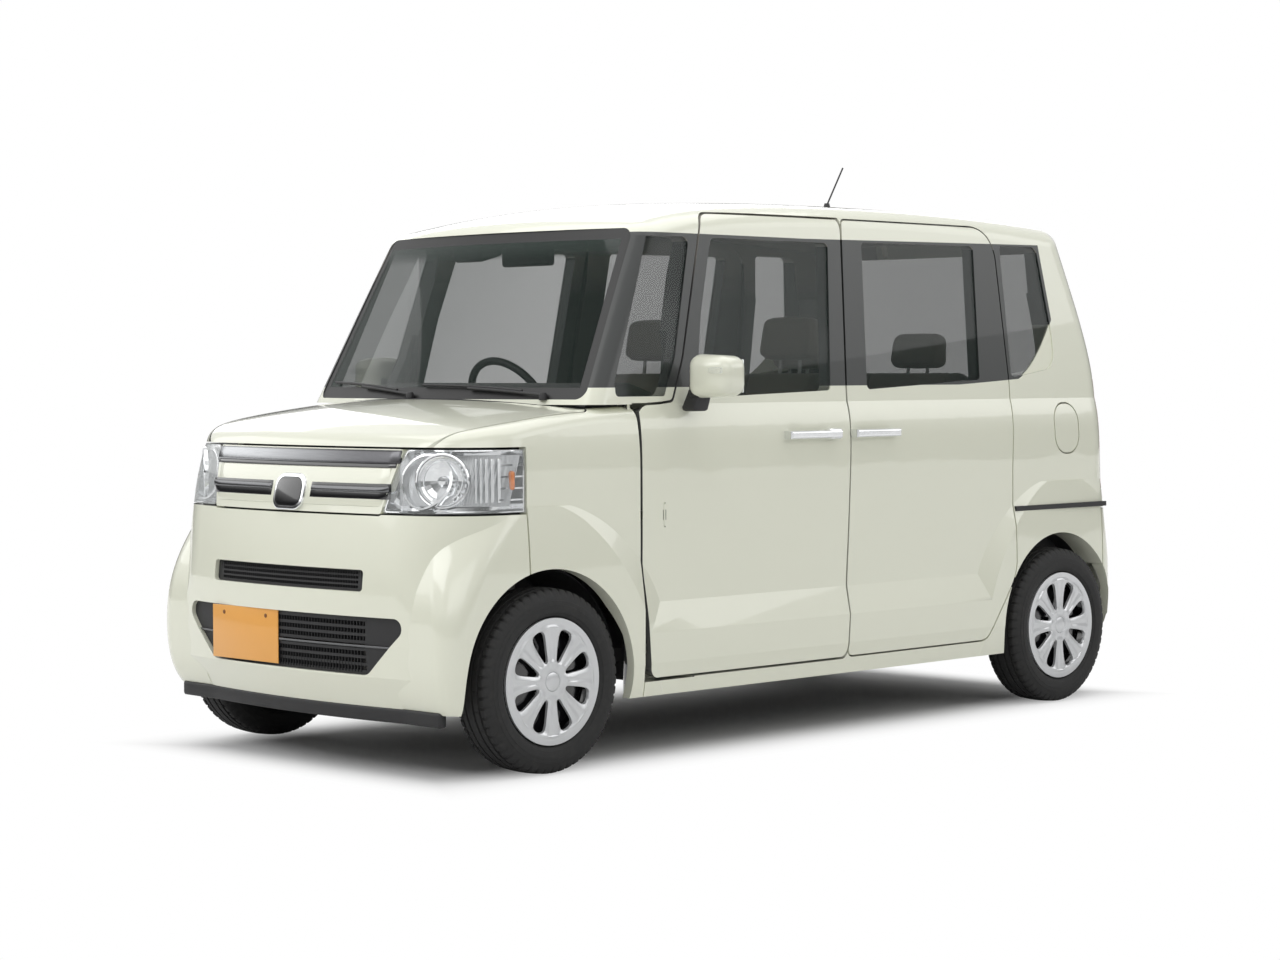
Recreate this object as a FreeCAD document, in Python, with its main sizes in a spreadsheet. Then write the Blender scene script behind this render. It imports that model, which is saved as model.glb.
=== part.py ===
import FreeCAD, Part
import math
import os
import Sketcher
from types import SimpleNamespace
from FreeCAD import Placement, Rotation, Vector

# A small tall wagon: X forward, Y to its left, Z up, the origin on the ground under its middle.
# Lengths are millimetres and angles are degrees.

document = FreeCAD.newDocument("small_wagon")
sheet = document.addObject("Spreadsheet::Sheet", "Sizes")

DRIVING_SIZES = [
    # Overall
    ("overall_length", 3395, "nose to tail"),
    ("overall_width", 1475, "across the wheel arch flares"),
    ("overall_height", 1780, "ground to the crown of the roof"),
    ("wheelbase", 2520, "front axle to rear axle"),
    ("front_overhang", 457, "nose to front axle"),
    ("track_width", 1305, "between the wheels' middle planes"),
    ("belt_height", 1098, "lower edge of the side windows"),
    ("sill_height", 200, "underside of the sills"),
    # Wheels
    ("tyre_radius", 278.5, "tread radius"),
    ("tyre_width", 155, "across the side walls"),
    ("rim_radius", 181.5, "bead seat of the rim"),
    ("rim_width", 114, "between the rim's flanges"),
    ("disc_radius", 118, "brake disc"),
    ("disc_thickness", 17, "brake disc"),
    ("hub_radius", 27, "axle stub in the wheel"),
    ("arch_radius", 335, "wheel opening in the body side"),
    ("kingpin_lean", 12.2, "steering axis, inward at the top"),
    ("kingpin_ground_y", 640, "steering axis where it meets the ground"),
    # Gaps and walls
    ("shut_gap", 6, "between closed panels"),
    ("door_gap", 8, "round the hinged doors"),
    ("seat_clearance", 0.3, "between a piece and what it rests on"),
    ("door_thickness", 50, "skin to trim"),
    ("wall_thickness", 80, "body side, skin to trim"),
    ("panel_thickness", 30, "bonnet, wings and bumpers with their inner shells"),
    ("glass_thickness", 5, "all windows"),
    ("glass_depth", 4, "glass below the surrounding skin"),
    ("floor_thickness", 40, "floor pan with its ribs"),
    # Openings
    ("front_door_setback", 390, "front axle back to the front door's leading edge"),
    ("front_door_length", 950, "leading edge to the shut line at the belt"),
    ("hinge_setback", 96, "front door's leading edge back to its hinge line"),
    ("hinge_pin_radius", 4, "door hinge pins"),
    ("fuel_lid_width", 143, "filler lid"),
    ("fuel_lid_height", 176, "filler lid"),
    # Cabin
    ("floor_height", 340, "cabin floor above the ground"),
    ("load_floor_height", 500, "load floor above the ground"),
    ("seat_spacing", 660, "between the front seats' middles"),
    ("seat_width", 500, "each front seat"),
    ("steering_wheel_radius", 182, "rim's centre line"),
    ("steering_grip_radius", 14, "rim's section"),
    ("column_rake", 27, "steering column above level"),
]


def fill_sheet():
    for row, (alias, value, note) in enumerate(DRIVING_SIZES, start=1):
        sheet.set("A%d" % row, alias)
        sheet.set("B%d" % row, str(value))
        sheet.setAlias("B%d" % row, alias)
        sheet.set("C%d" % row, note)
    document.recompute()


fill_sheet()
size = SimpleNamespace(**{alias: float(sheet.get(alias)) for alias, value, note in DRIVING_SIZES})

# Datum lines that the sizes give
NOSE = size.overall_length / 2
TAIL = -NOSE
FLANK = size.overall_width / 2
FRONT_AXLE = NOSE - size.front_overhang
REAR_AXLE = FRONT_AXLE - size.wheelbase
AXLE_HEIGHT = size.tyre_radius
WHEEL_PLANE = size.track_width / 2
BELT = size.belt_height
ROOF = size.overall_height
SILL = size.sill_height
GLASS_BAND = ROOF - BELT
DOOR_FRONT = FRONT_AXLE - size.front_door_setback
DOOR_REAR = DOOR_FRONT - size.front_door_length
HINGE_X = DOOR_FRONT - size.hinge_setback
SKIN = FLANK - 21.5
HINGE_Y = SKIN - size.hinge_pin_radius - 1
SLIDE_REAR = REAR_AXLE + 269
FLOOR = size.floor_height
SEAT = size.seat_clearance
UP = Vector(0, 0, 1)
LEFT = Vector(0, 1, 0)
AHEAD = Vector(1, 0, 0)


# Outlines

def turned(points):
    """The same corners, anticlockwise."""
    area = sum(a[0] * b[1] - b[0] * a[1] for a, b in zip(points, points[1:] + points[:1]))
    return points if area > 0 else points[::-1]


def grown(points, distance):
    """A corner list (a, b, radius) moved outward by a distance on every side."""
    points = turned(points)
    count = len(points)
    sides = []
    for i, (a, b, radius) in enumerate(points):
        c, d, ignored = points[(i + 1) % count]
        along = Vector(c - a, d - b, 0).normalize()
        outward = Vector(along.y, -along.x, 0)
        sides.append((Vector(a, b, 0) + outward * distance, along))
    result = []
    for i, (a, b, radius) in enumerate(points):
        before, along = sides[i - 1]
        after, onward = sides[i]
        cross = along.x * onward.y - along.y * onward.x
        if abs(cross) < 1e-9:
            corner = after
        else:
            offset = after - before
            reach = (offset.x * onward.y - offset.y * onward.x) / cross
            corner = before + along * reach
        change = distance if cross > 0 else -distance
        result.append((corner.x, corner.y, max(radius + change, 0) if radius else 0))
    return result


def outline_wire(points, place):
    """A closed wire through corners (a, b, radius), each radius an arc, set in space by place(a, b)."""
    points = turned(points)
    count = len(points)
    runs = []
    for i, (a, b, radius) in enumerate(points):
        corner = Vector(a, b, 0)
        back = (Vector(*points[i - 1][:2], 0) - corner).normalize()
        onward = (Vector(*points[(i + 1) % count][:2], 0) - corner).normalize()
        half = back.getAngle(onward) / 2
        if radius <= 0 or half > 1.5690:
            runs.append((corner, None, corner))
            continue
        reach = radius / math.tan(half)
        middle = (back + onward).normalize()
        crown = corner + middle * (radius / math.sin(half) - radius)
        runs.append((corner + back * reach, crown, corner + onward * reach))
    edges = []
    for i, (start, crown, end) in enumerate(runs):
        following = runs[(i + 1) % count][0]
        if crown is not None:
            edges.append(Part.Arc(*(place(p.x, p.y) for p in (start, crown, end))).toShape())
        if (following - end).Length > 1e-6:
            edges.append(Part.makeLine(place(end.x, end.y), place(following.x, following.y)))
    return Part.Wire(edges)


def side_prism(points, near, far):
    """An outline in X and Z, from Y = near to Y = far."""
    wire = outline_wire(points, lambda a, b: Vector(a, near, b))
    return Part.Face(wire).extrude(Vector(0, far - near, 0))


def front_prism(points, near, far):
    """An outline in Y and Z, from X = near to X = far."""
    wire = outline_wire(points, lambda a, b: Vector(near, a, b))
    return Part.Face(wire).extrude(Vector(far - near, 0, 0))


def plan_prism(points, low, high):
    """An outline in X and Y, from Z = low to Z = high."""
    wire = outline_wire(points, lambda a, b: Vector(a, b, low))
    return Part.Face(wire).extrude(Vector(0, 0, high - low))


def tapered_prism(points, level, draft, near, far):
    """A side outline true at Y = level that shrinks inward by the draft."""
    wires = []
    for y in (near, far):
        moved = grown(points, draft * (y - level))
        wires.append(outline_wire(moved, lambda a, b, y=y: Vector(a, y, b)))
    return Part.makeLoft(wires, True, True)


def block(x1, x2, y1, y2, z1, z2):
    """A box between two corners."""
    corner = Vector(min(x1, x2), min(y1, y2), min(z1, z2))
    return Part.makeBox(abs(x2 - x1), abs(y2 - y1), abs(z2 - z1), corner)


def rod(start, end, radius):
    """A round bar from one point to another."""
    along = end - start
    return Part.makeCylinder(radius, along.Length, start, along)


def tube(start, end, radius, bore):
    """A round tube from one point to another."""
    return rod(start, end, radius).cut(rod(start, end, bore))


def mirrored(shape):
    """The same shape on the other side of the car."""
    return shape.mirror(Vector(0, 0, 0), LEFT)


def both(shape):
    """A left piece with its right twin, as two separate solids."""
    return Part.makeCompound([shape, mirrored(shape)])


def joined(shapes):
    """One solid of several that meet."""
    return shapes[0].multiFuse(shapes[1:]).removeSplitter()


# Body surfaces
# Each level is (set back from the nose, nose corner, in from the flank, tail set in, tail corner).
NOSE_CURVE = 2900
TAIL_CURVE = 4000
FLANK_CURVE = 60000
SCREEN_CURVE = 2200
LEDGE = 488

# From the sill to the ledge, at heights of their own
LEDGE_LEVELS = [
    (SILL, (57, 110, 15, 57, 100)),
    (300, (8, 95, 1, 8, 90)),
    (395, (0, 140, 0, 0, 95)),
    (LEDGE, (1, 205, 22, 3, 98)),
]
# The wings, evenly spaced from the ledge to past the belt
WING_ROWS = [
    (1, 205, 22, 3, 98),
    (7, 262, 21, 15, 100),
    (26, 245, 20.2, 24, 100),
    (50, 235, 20.5, 30, 100),
    (86, 240, 23.5, 34, 100),
    (134, 240, 45.5, 34, 100),
    (190, 240, 80, 34, 100),
]
# The flanks behind the front wheels, evenly spaced from the ledge to the belt
FLANK_ROWS = [
    (236, 150, 22, 3, 98),
    (302, 150, 21, 15, 100),
    (368, 150, 20.2, 24, 100),
    (435, 150, 20.5, 30, 100),
    (501, 150, 23.5, 34, 100),
    (567, 150, 45.5, 36, 100),
]
# The glasshouse, evenly spaced from the belt to above the roof
GLASS_ROWS = [
    (567, 60, 45.5, 36, 100),
    (665, 66, 67, 57, 105),
    (762, 76, 88.7, 112, 115),
    (860, 92, 110.5, 178, 125),
    (957, 112, 132.5, 240, 140),
]


def evenly(rows, low, high):
    """The rows with heights spread evenly from low to high."""
    step = (high - low) / (len(rows) - 1)
    return [(low + i * step, row) for i, row in enumerate(rows)]


WING_LEVELS = evenly(WING_ROWS, LEDGE, BELT + (BELT - LEDGE) / 5)
FLANK_LEVELS = evenly(FLANK_ROWS, LEDGE, BELT)
GLASS_LEVELS = evenly(GLASS_ROWS, BELT, BELT + 1.06 * GLASS_BAND)


def meeting(centre_a, radius_a, centre_b, radius_b, toward):
    """Where two circles cross, on the side that is asked for."""
    line = centre_b - centre_a
    apart = line.Length
    along = (radius_a ** 2 - radius_b ** 2 + apart ** 2) / (2 * apart)
    across = math.sqrt(radius_a ** 2 - along ** 2)
    unit = line / apart
    normal = Vector(-unit.y, unit.x, 0)
    crossings = [centre_a + unit * along + normal * across, centre_a + unit * along - normal * across]
    return max(crossings, key=lambda point: point.dot(toward))


def corner_arc(end_centre, end_radius, flank_centre, corner, toward):
    """An arc that blends an end curve into the flank: its start, crown and end."""
    centre = meeting(end_centre, end_radius - corner, flank_centre, FLANK_CURVE - corner, toward)
    from_end = (centre - end_centre).normalize()
    from_flank = (centre - flank_centre).normalize()
    crown = (from_end + from_flank).normalize()
    return [centre + direction * corner for direction in (from_end, crown, from_flank)]


def body_outline(level, nose_curve, tail_curve, inset):
    """The body's plan outline at one height: eight arcs, alike at every height."""
    height, (nose_back, nose_corner, flank_in, tail_in, tail_corner) = level
    nose = NOSE - nose_back - inset
    half = FLANK - flank_in - inset
    tail = TAIL + tail_in + inset
    nose_corner = max(nose_corner - inset, 20)
    tail_corner = max(tail_corner - inset, 20)
    flank_centre = Vector(0, half - FLANK_CURVE, 0)
    n1, n2, n3 = corner_arc(Vector(nose - nose_curve, 0, 0), nose_curve, flank_centre,
                            nose_corner, Vector(1, 1, 0))
    t1, t2, t3 = corner_arc(Vector(tail + tail_curve, 0, 0), tail_curve, flank_centre,
                            tail_corner, Vector(-1, 1, 0))
    nose_tip = Vector(nose, 0, 0)
    tail_tip = Vector(tail, 0, 0)
    widest = Vector(0, half, 0)

    def right(point):
        return Vector(point.x, -point.y, 0)

    arcs = [(right(n1), nose_tip, n1), (n1, n2, n3), (n3, widest, t3), (t3, t2, t1),
            (t1, tail_tip, right(t1)), (right(t1), right(t2), right(t3)),
            (right(t3), right(widest), right(n3)), (right(n3), right(n2), right(n1))]
    lift = Vector(0, 0, height)
    return Part.Wire([Part.Arc(*(point + lift for point in arc)).toShape() for arc in arcs])


def body_loft(levels, nose_curve, tail_curve, inset, ruled):
    wires = [body_outline(level, nose_curve, tail_curve, inset) for level in levels]
    return Part.makeLoft(wires, True, ruled)


def crowned_cap(profile, crown, reach, inset):
    """A tall block whose top follows a side profile and falls off toward both sides."""
    front, back = profile[0][0], profile[-1][0]
    foot = 100
    wires = []
    for share in (-1, -0.5, 0, 0.5, 1):
        y = share * reach
        drop = crown * share * share + inset
        top = [Vector(x, y, z - drop) for x, z in profile]
        curve = Part.BSplineCurve()
        curve.interpolate(top)
        wires.append(Part.Wire([
            curve.toShape(),
            Part.makeLine(top[-1], Vector(back, y, foot)),
            Part.makeLine(Vector(back, y, foot), Vector(front, y, foot)),
            Part.makeLine(Vector(front, y, foot), top[0])]))
    return Part.makeLoft(wires, True, False)


ROOF_PROFILE = [
    (NOSE - 397, ROOF - 220), (NOSE - 857, ROOF - 112), (NOSE - 1097, ROOF - 55), (NOSE - 1497, ROOF - 14),
    (NOSE - 2097, ROOF), (NOSE - 2697, ROOF - 12), (TAIL + 157, ROOF - 50), (TAIL - 103, ROOF - 80),
]
ROOF_CROWN = 62
BONNET_PROFILE = [
    (NOSE + 63, 900), (NOSE - 57, 985), (NOSE - 197, 1050), (NOSE - 397, 1094), (NOSE - 597, 1118),
    (NOSE - 797, 1128), (NOSE - 1197, 1134),
]
BONNET_CROWN = 52
ROOF_EDGE_RADIUS = 80
BONNET_EDGE_RADIUS = 55
CAP_REACH = FLANK + 25


def cabin_hull(inset):
    """The glasshouse, from the belt up to the roof."""
    loft = body_loft(GLASS_LEVELS, SCREEN_CURVE, TAIL_CURVE, inset, False)
    return loft.common(crowned_cap(ROOF_PROFILE, ROOF_CROWN, CAP_REACH, inset))


def flank_hull(inset):
    """The flanks behind the front wheels, from the ledge up to the belt."""
    return body_loft(FLANK_LEVELS, SCREEN_CURVE, TAIL_CURVE, inset, False)


def nose_hull(inset):
    """The body ahead of the doors, from the ledge up to the bonnet."""
    loft = body_loft(WING_LEVELS, NOSE_CURVE, TAIL_CURVE, inset, False)
    ahead = loft.common(block(HINGE_X - 120, NOSE + 60, -FLANK, FLANK, LEDGE - 1, 1200))
    return ahead.common(crowned_cap(BONNET_PROFILE, BONNET_CROWN, CAP_REACH, inset))


def ledge_hull(inset):
    """The lowest part of the body side, with its outward step."""
    return body_loft(LEDGE_LEVELS, NOSE_CURVE, TAIL_CURVE, inset, True)


def edges_between(shape, low, rear, front):
    """Edges above a height and between two X positions."""
    chosen = []
    for edge in shape.Edges:
        box = edge.BoundBox
        if box.ZMin > low and box.XMin > rear and box.XMax < front and box.DiagonalLength > 5:
            chosen.append(edge)
    return chosen


# Round the wheels, evenly spaced from the sill to above the flares
CHEEK_ROWS = [
    (92, 95, 14, 57, 100),
    (52, 82, 2, 10, 92),
    (44, 80, 0, 4, 95),
    (48, 92, 0, 5, 98),
    (70, 118, 2, 16, 100),
    (108, 160, 8, 26, 100),
    (160, 210, 18, 34, 100),
]
CHEEK_TOP = SILL + 600
CHEEK_CURVE = 20000
CHEEK_INNER = 470
FLARE_BASE = SKIN - 26
FLARE_RIM = 402
FLARE_DROP = 93 / 23


def flare(axle):
    """The raised rim round a wheel opening, wrapped round the body's corner."""
    base = FLARE_RIM + (FLANK - FLARE_BASE) * FLARE_DROP
    foot = Vector(axle, FLARE_BASE, AXLE_HEIGHT)
    cone = Part.makeCone(base, FLARE_RIM, FLANK - FLARE_BASE, foot, LEFT)
    cheek = Part.makeCylinder(base, FLARE_BASE - CHEEK_INNER, Vector(axle, CHEEK_INNER, AXLE_HEIGHT), LEFT)
    wide = body_loft(evenly(CHEEK_ROWS, SILL, CHEEK_TOP), CHEEK_CURVE, TAIL_CURVE, 0, False)
    return fuse(cone, cheek).common(wide)


def fuse(*shapes):
    """One solid of several that share faces."""
    return shapes[0].multiFuse(list(shapes[1:]))


FLANK_FRONT = DOOR_FRONT + size.door_gap / 2


def flared(hull):
    """A hull with its four wheel arch flares."""
    flares = [flare(FRONT_AXLE), flare(REAR_AXLE)]
    return fuse(hull, *flares, *[mirrored(shape) for shape in flares])


def lower_hull(inset, foot=SILL):
    """Ledge and flanks up to the belt, behind the wings."""
    ledge = ledge_hull(inset)
    if foot < SILL:
        outline = body_outline((foot, LEDGE_LEVELS[0][1]), NOSE_CURVE, TAIL_CURVE, inset)
        ledge = fuse(ledge, Part.Face(outline).extrude(Vector(0, 0, SILL - foot)))
    behind = block(TAIL - 10, FLANK_FRONT, -FLANK - 10, FLANK + 10, foot - 1, BELT)
    return fuse(ledge, flank_hull(inset)).common(behind)


def body_hull(inset, foot=SILL):
    """The whole body behind the wings, drawn in by an inset."""
    return fuse(lower_hull(inset, foot), cabin_hull(inset))


def front_hull(inset):
    """The body ahead of the doors, drawn in by an inset."""
    ahead = block(FLANK_FRONT, NOSE + 10, -FLANK - 10, FLANK + 10, SILL - 1, 1300)
    return fuse(ledge_hull(inset), nose_hull(inset)).common(ahead)


def skins():
    """The outer surfaces with their rounded edges and flares."""
    cabin = cabin_hull(0)
    cabin = cabin.makeFillet(ROOF_EDGE_RADIUS, edges_between(cabin, BELT + 420, TAIL - 1, NOSE))
    body = flared(fuse(lower_hull(0), cabin))
    body = body.cut(block(FLANK_FRONT, NOSE + 10, -FLANK - 10, FLANK + 10, 0, BELT))
    nose = nose_hull(0)
    top = [edge for edge in edges_between(nose, 900, HINGE_X - 130, NOSE + 1)
           if edge.BoundBox.XLength > 1]
    nose = nose.makeFillet(BONNET_EDGE_RADIUS, top)
    front = fuse(ledge_hull(0), nose)
    rim = flare(FRONT_AXLE)
    front = fuse(front, rim, mirrored(rim))
    ahead = block(FLANK_FRONT, NOSE + 10, -FLANK - 10, FLANK + 10, SILL - 1, 1300)
    return body, front.common(ahead)


COVER_FOOT, COVER_TOP = 700, 717
COVER_DEPTH = 8


def rail_cover(extra, out):
    """The sliding door's rail cover, or the groove that it lies in."""
    return block(TAIL + 135 - extra, SLIDE_REAR - 10 + extra, SKIN - COVER_DEPTH - extra, SKIN + out,
                 COVER_FOOT - extra, COVER_TOP + extra)


BODY_SKIN, FRONT_SKIN = skins()
BODY_SKIN = BODY_SKIN.cut([rail_cover(SEAT, 40), mirrored(rail_cover(SEAT, 40))])
LEFT_HALF = block(TAIL - 20, NOSE + 20, 0, FLANK + 20, 0, ROOF + 20)


NODES = []


def add_piece(label, shape):
    """A sub-part whose shape comes from the body surfaces."""
    piece = document.addObject("Part::Feature", label)
    piece.Label = label
    piece.Shape = shape
    NODES.append(piece)
    return piece


# Panel outlines in the side view: corners (X, Z, radius)
DOOR_FOOT = SILL + 57
DOOR_DRAFT = 0.12
FRONT_DOOR = [
    (DOOR_FRONT - 24, DOOR_FOOT, 22),
    (DOOR_FRONT, LEDGE + 72, 200),
    (DOOR_FRONT - 2, BELT, 14),
    (DOOR_FRONT - 156, BELT + 2, 30),
    (DOOR_FRONT - 218, BELT + 143, 0),
    (DOOR_FRONT - 359, ROOF - 65, 70),
    (DOOR_REAR - 92, ROOF - 65, 22),
    (DOOR_REAR - 34, BELT + 31, 0),
    (DOOR_REAR + 1, LEDGE, 0),
    (DOOR_REAR + 17, DOOR_FOOT, 22),
]
SLIDE_FRONT = DOOR_REAR - size.door_gap
SLIDE_DOOR = [
    (SLIDE_FRONT + 15, DOOR_FOOT, 22),
    (SLIDE_FRONT + 1, LEDGE, 0),
    (SLIDE_FRONT - 31, BELT + 31, 0),
    (SLIDE_FRONT - 81, ROOF - 78, 22),
    (SLIDE_REAR - 2, ROOF - 78, 120),
    (SLIDE_REAR - 19, BELT + 55, 60),
    (SLIDE_REAR, 863, 0),
    (SLIDE_REAR, 480, 160),
    (SLIDE_REAR + 170, DOOR_FOOT, 60),
]
WINDOW_TOP = ROOF - 157
FRONT_DOOR_WINDOW = [
    (DOOR_FRONT - 265, BELT + 17, 16),
    (DOOR_FRONT - 319, BELT + 282, 400),
    (DOOR_FRONT - 394, WINDOW_TOP, 22),
    (DOOR_REAR - 8, WINDOW_TOP, 18),
    (DOOR_REAR + 45, BELT + 37, 16),
]
SLIDE_DOOR_WINDOW = [
    (SLIDE_FRONT - 134, BELT + 38, 16),
    (SLIDE_FRONT - 174, WINDOW_TOP + 8, 18),
    (SLIDE_REAR + 116, WINDOW_TOP + 13, 18),
    (SLIDE_REAR + 148, BELT + 68, 16),
]
FRONT_QUARTER_WINDOW = [
    (DOOR_FRONT - 128, BELT + 24, 14),
    (DOOR_FRONT - 186, BELT + 145, 0),
    (DOOR_FRONT - 296, WINDOW_TOP, 22),
    (DOOR_FRONT - 118, WINDOW_TOP, 12),
    (DOOR_FRONT + 84, BELT + 70, 30),
    (DOOR_FRONT + 84, BELT + 24, 14),
]
REAR_QUARTER_WINDOW = [
    (REAR_AXLE + 230, BELT + 74, 16),
    (REAR_AXLE + 230, WINDOW_TOP + 20, 16),
    (REAR_AXLE + 10, WINDOW_TOP + 20, 30),
    (REAR_AXLE - 38, BELT + 230, 200),
    (REAR_AXLE - 40, BELT + 110, 70),
]
# In the front view: corners (Y, Z, radius)
SCREEN_OPENING = [
    (-640, BELT + 16, 30), (640, BELT + 16, 30), (578, ROOF - 133, 40), (-578, ROOF - 133, 40),
]
HATCH_WINDOW = [
    (-520, BELT + 40, 50), (520, BELT + 40, 50), (470, ROOF - 150, 60), (-470, ROOF - 150, 60),
]


def side_pocket(outline, inset, extra=0):
    """The space behind a side panel, from the skin in to an inset hull."""
    prism = side_prism(grown(outline, extra), 450, FLANK + 40)
    return prism.cut(inset)


def door_prism(extra):
    """The hinged door's volume, whose shut faces close in toward the cabin."""
    return tapered_prism(grown(FRONT_DOOR, extra), SKIN, DOOR_DRAFT, 470, FLANK + 40)


def wheel_space(axle, inner):
    """The round space for a left wheel."""
    return Part.makeCylinder(size.arch_radius, FLANK + 50 - inner, Vector(axle, inner, AXLE_HEIGHT), LEFT)


HINGE_SWEEP = 118
HINGE_WALL = 11
HINGE_ARM = 20
HINGE_ARM_WIDTH = 8
HINGE_HEIGHTS = (SILL + 146, BELT - 342)
HINGE_ARM_ANGLE = math.radians(-110)
PIN_ROOM = 6
HATCH_EDGE = TAIL + 267
HATCH_HALF = 584
HATCH_FOOT = 575
BUMPER_TOP_REAR = 690
LAMP_FOOT_REAR = 764
LAMP_TOP_REAR = 1166
LAMP_FRONT_REAR = TAIL + 125
ROOF_HALF = 560


def hatch_region(extra):
    """The tailgate's volume: the back wall and the last of the roof."""
    wall = block(TAIL - 30, HATCH_EDGE + extra, -HATCH_HALF - extra, HATCH_HALF + extra,
                 HATCH_FOOT - extra, ROOF + 50)
    return wall


def rear_lamp_region(extra):
    return block(TAIL - 30, LAMP_FRONT_REAR + extra, HATCH_HALF + size.shut_gap - extra, FLANK + 30,
                 LAMP_FOOT_REAR - extra, LAMP_TOP_REAR + extra)


def rear_bumper_region(extra):
    return block(TAIL - 30, TAIL + 150 + extra, -FLANK - 30, FLANK + 30, SILL - 10, BUMPER_TOP_REAR + extra)


def hinge_wall():
    """The curved wall behind the front door's leading edge."""
    foot = Vector(HINGE_X, HINGE_Y, SILL + 5)
    tall = BELT + 12 - SILL
    ring = Part.makeCylinder(HINGE_SWEEP + HINGE_WALL, tall, foot).cut(
        Part.makeCylinder(HINGE_SWEEP, tall, foot))
    kept = block(HINGE_X - 60, HINGE_X + 200, 500, SKIN - 42, SILL, ROOF)
    return ring.common(kept).cut(FRONT_SKIN.cut(front_hull(size.panel_thickness + SEAT)))


def door_hinges():
    """Hinge arms from the curved wall to the pins in the front door."""
    pieces = []
    for height in HINGE_HEIGHTS:
        axis = Vector(HINGE_X, HINGE_Y, height)
        toward = Vector(math.cos(HINGE_ARM_ANGLE), math.sin(HINGE_ARM_ANGLE), 0)
        reach = HINGE_SWEEP + HINGE_WALL / 2
        arm = Part.makeBox(reach, HINGE_ARM_WIDTH, HINGE_ARM, Vector(0, -HINGE_ARM_WIDTH / 2, 0))
        arm.rotate(Vector(0, 0, 0), UP, math.degrees(HINGE_ARM_ANGLE))
        arm.translate(axis - UP * (HINGE_ARM / 2))
        eye = rod(axis - UP * (HINGE_ARM / 2), axis + UP * (HINGE_ARM / 2), size.hinge_pin_radius)
        pin = rod(axis - UP * 34, axis + UP * 34, size.hinge_pin_radius)
        arm = arm.cut(block(HINGE_X - 30, HINGE_X + 30, HINGE_Y - 0.5, HINGE_Y + 30,
                            height - 30, height + 30))
        pieces.append(joined([arm, eye, pin]))
    return pieces


def door_hinge_rooms():
    """What the hinge arms need inside the front door."""
    rooms = []
    for height in HINGE_HEIGHTS:
        axis = Vector(HINGE_X, HINGE_Y, height)
        lift = UP * (HINGE_ARM / 2 + PIN_ROOM)
        room = rod(axis - lift, axis + lift, HINGE_SWEEP + 2)
        rooms.append(room.common(block(HINGE_X - 200, HINGE_X + 200, 400, HINGE_Y - 0.5, 0, BELT)))
        eye_room = rod(axis - lift, axis + lift, size.hinge_pin_radius + 3)
        reach = HINGE_Y + size.hinge_pin_radius + SEAT
        rooms.append(eye_room.common(block(HINGE_X - 20, HINGE_X + 20, HINGE_Y - 20, reach, 0, BELT)))
        rooms.append(rod(axis - UP * 38, axis + UP * 38, size.hinge_pin_radius + SEAT))
    return rooms


def hinge_space():
    """What the part of the front door ahead of its hinge sweeps through."""
    return Part.makeCylinder(HINGE_SWEEP, BELT + 4 - DOOR_FOOT + 12, Vector(HINGE_X, HINGE_Y, DOOR_FOOT - 12))


FRAME_FLANGE = 30
INNER_WALL = body_hull(size.wall_thickness, 120)
DOOR_LINING = body_hull(size.door_thickness)
FRONT_LINING = front_hull(size.panel_thickness)


def largest(shape):
    """The biggest solid of a shape."""
    return max(shape.Solids, key=lambda solid: solid.Volume)


def build_body_sides():
    shell = BODY_SKIN.common(LEFT_HALF).cut(INNER_WALL)
    seat_hull = body_hull(size.door_thickness + SEAT)
    door_hull = body_hull(size.door_thickness + size.shut_gap)
    side = shell.cut([
        block(TAIL - 50, NOSE, -1, ROOF_HALF + SEAT, ROOF - 300, ROOF + 60),
        side_prism(grown(FRONT_DOOR, -FRAME_FLANGE), 400, 800),
        side_prism(grown(SLIDE_DOOR, -FRAME_FLANGE), 400, 800),
        side_prism(FRONT_QUARTER_WINDOW, 400, 800),
        side_prism(REAR_QUARTER_WINDOW, 400, 800),
        front_prism(SCREEN_OPENING, DOOR_FRONT - 210, NOSE),
        door_prism(size.door_gap).cut(door_hull),
        side_pocket(SLIDE_DOOR, seat_hull, size.shut_gap),
        hatch_region(size.shut_gap),
        rear_lamp_region(size.shut_gap).cut(body_hull(LAMP_DEPTH + SEAT)),
        rear_bumper_region(size.shut_gap),
        wheel_space(REAR_AXLE, 560),
        hinge_space(),
    ])
    side = largest(fuse(side, hinge_wall(), *door_hinges()))
    add_piece("side_body_right", mirrored(side))
    lid_face = SKIN - 60
    lid_prism = side_prism(grown(FUEL_LID, size.shut_gap), lid_face, FLANK + 10)
    side = side.cut(lid_prism.cut(body_hull(LID_DEPTH)))
    add_piece("side_body_left", largest(side))


FUEL_LID_X = REAR_AXLE - 68
FUEL_LID_Z = BELT - 109
FUEL_LID = [
    (FUEL_LID_X + side * size.fuel_lid_width / 2, FUEL_LID_Z + up * size.fuel_lid_height / 2,
     size.fuel_lid_width * 0.45)
    for side, up in ((1, 1), (-1, 1), (-1, -1), (1, -1))
]
LID_DEPTH = 24
LID_WALL = 9
LAMP_DEPTH = 40


def build_fuel_lid():
    prism = side_prism(FUEL_LID, SKIN - 60, FLANK + 10)
    add_piece("fuel_lid", largest(BODY_SKIN.common(prism).cut(body_hull(LID_WALL))))


def door_top_room():
    """Keeps a door's top clear of the roof panel."""
    return block(TAIL, NOSE, 0, ROOF_HALF + size.door_gap, ROOF - 300, ROOF + 60)


def build_front_doors():
    door = BODY_SKIN.common(door_prism(0)).cut([
        DOOR_LINING, side_prism(FRONT_DOOR_WINDOW, 400, 800), door_top_room()] + door_hinge_rooms())
    door = largest(door)
    add_piece("front_door_left", door)
    add_piece("front_door_right", mirrored(door))


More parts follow.
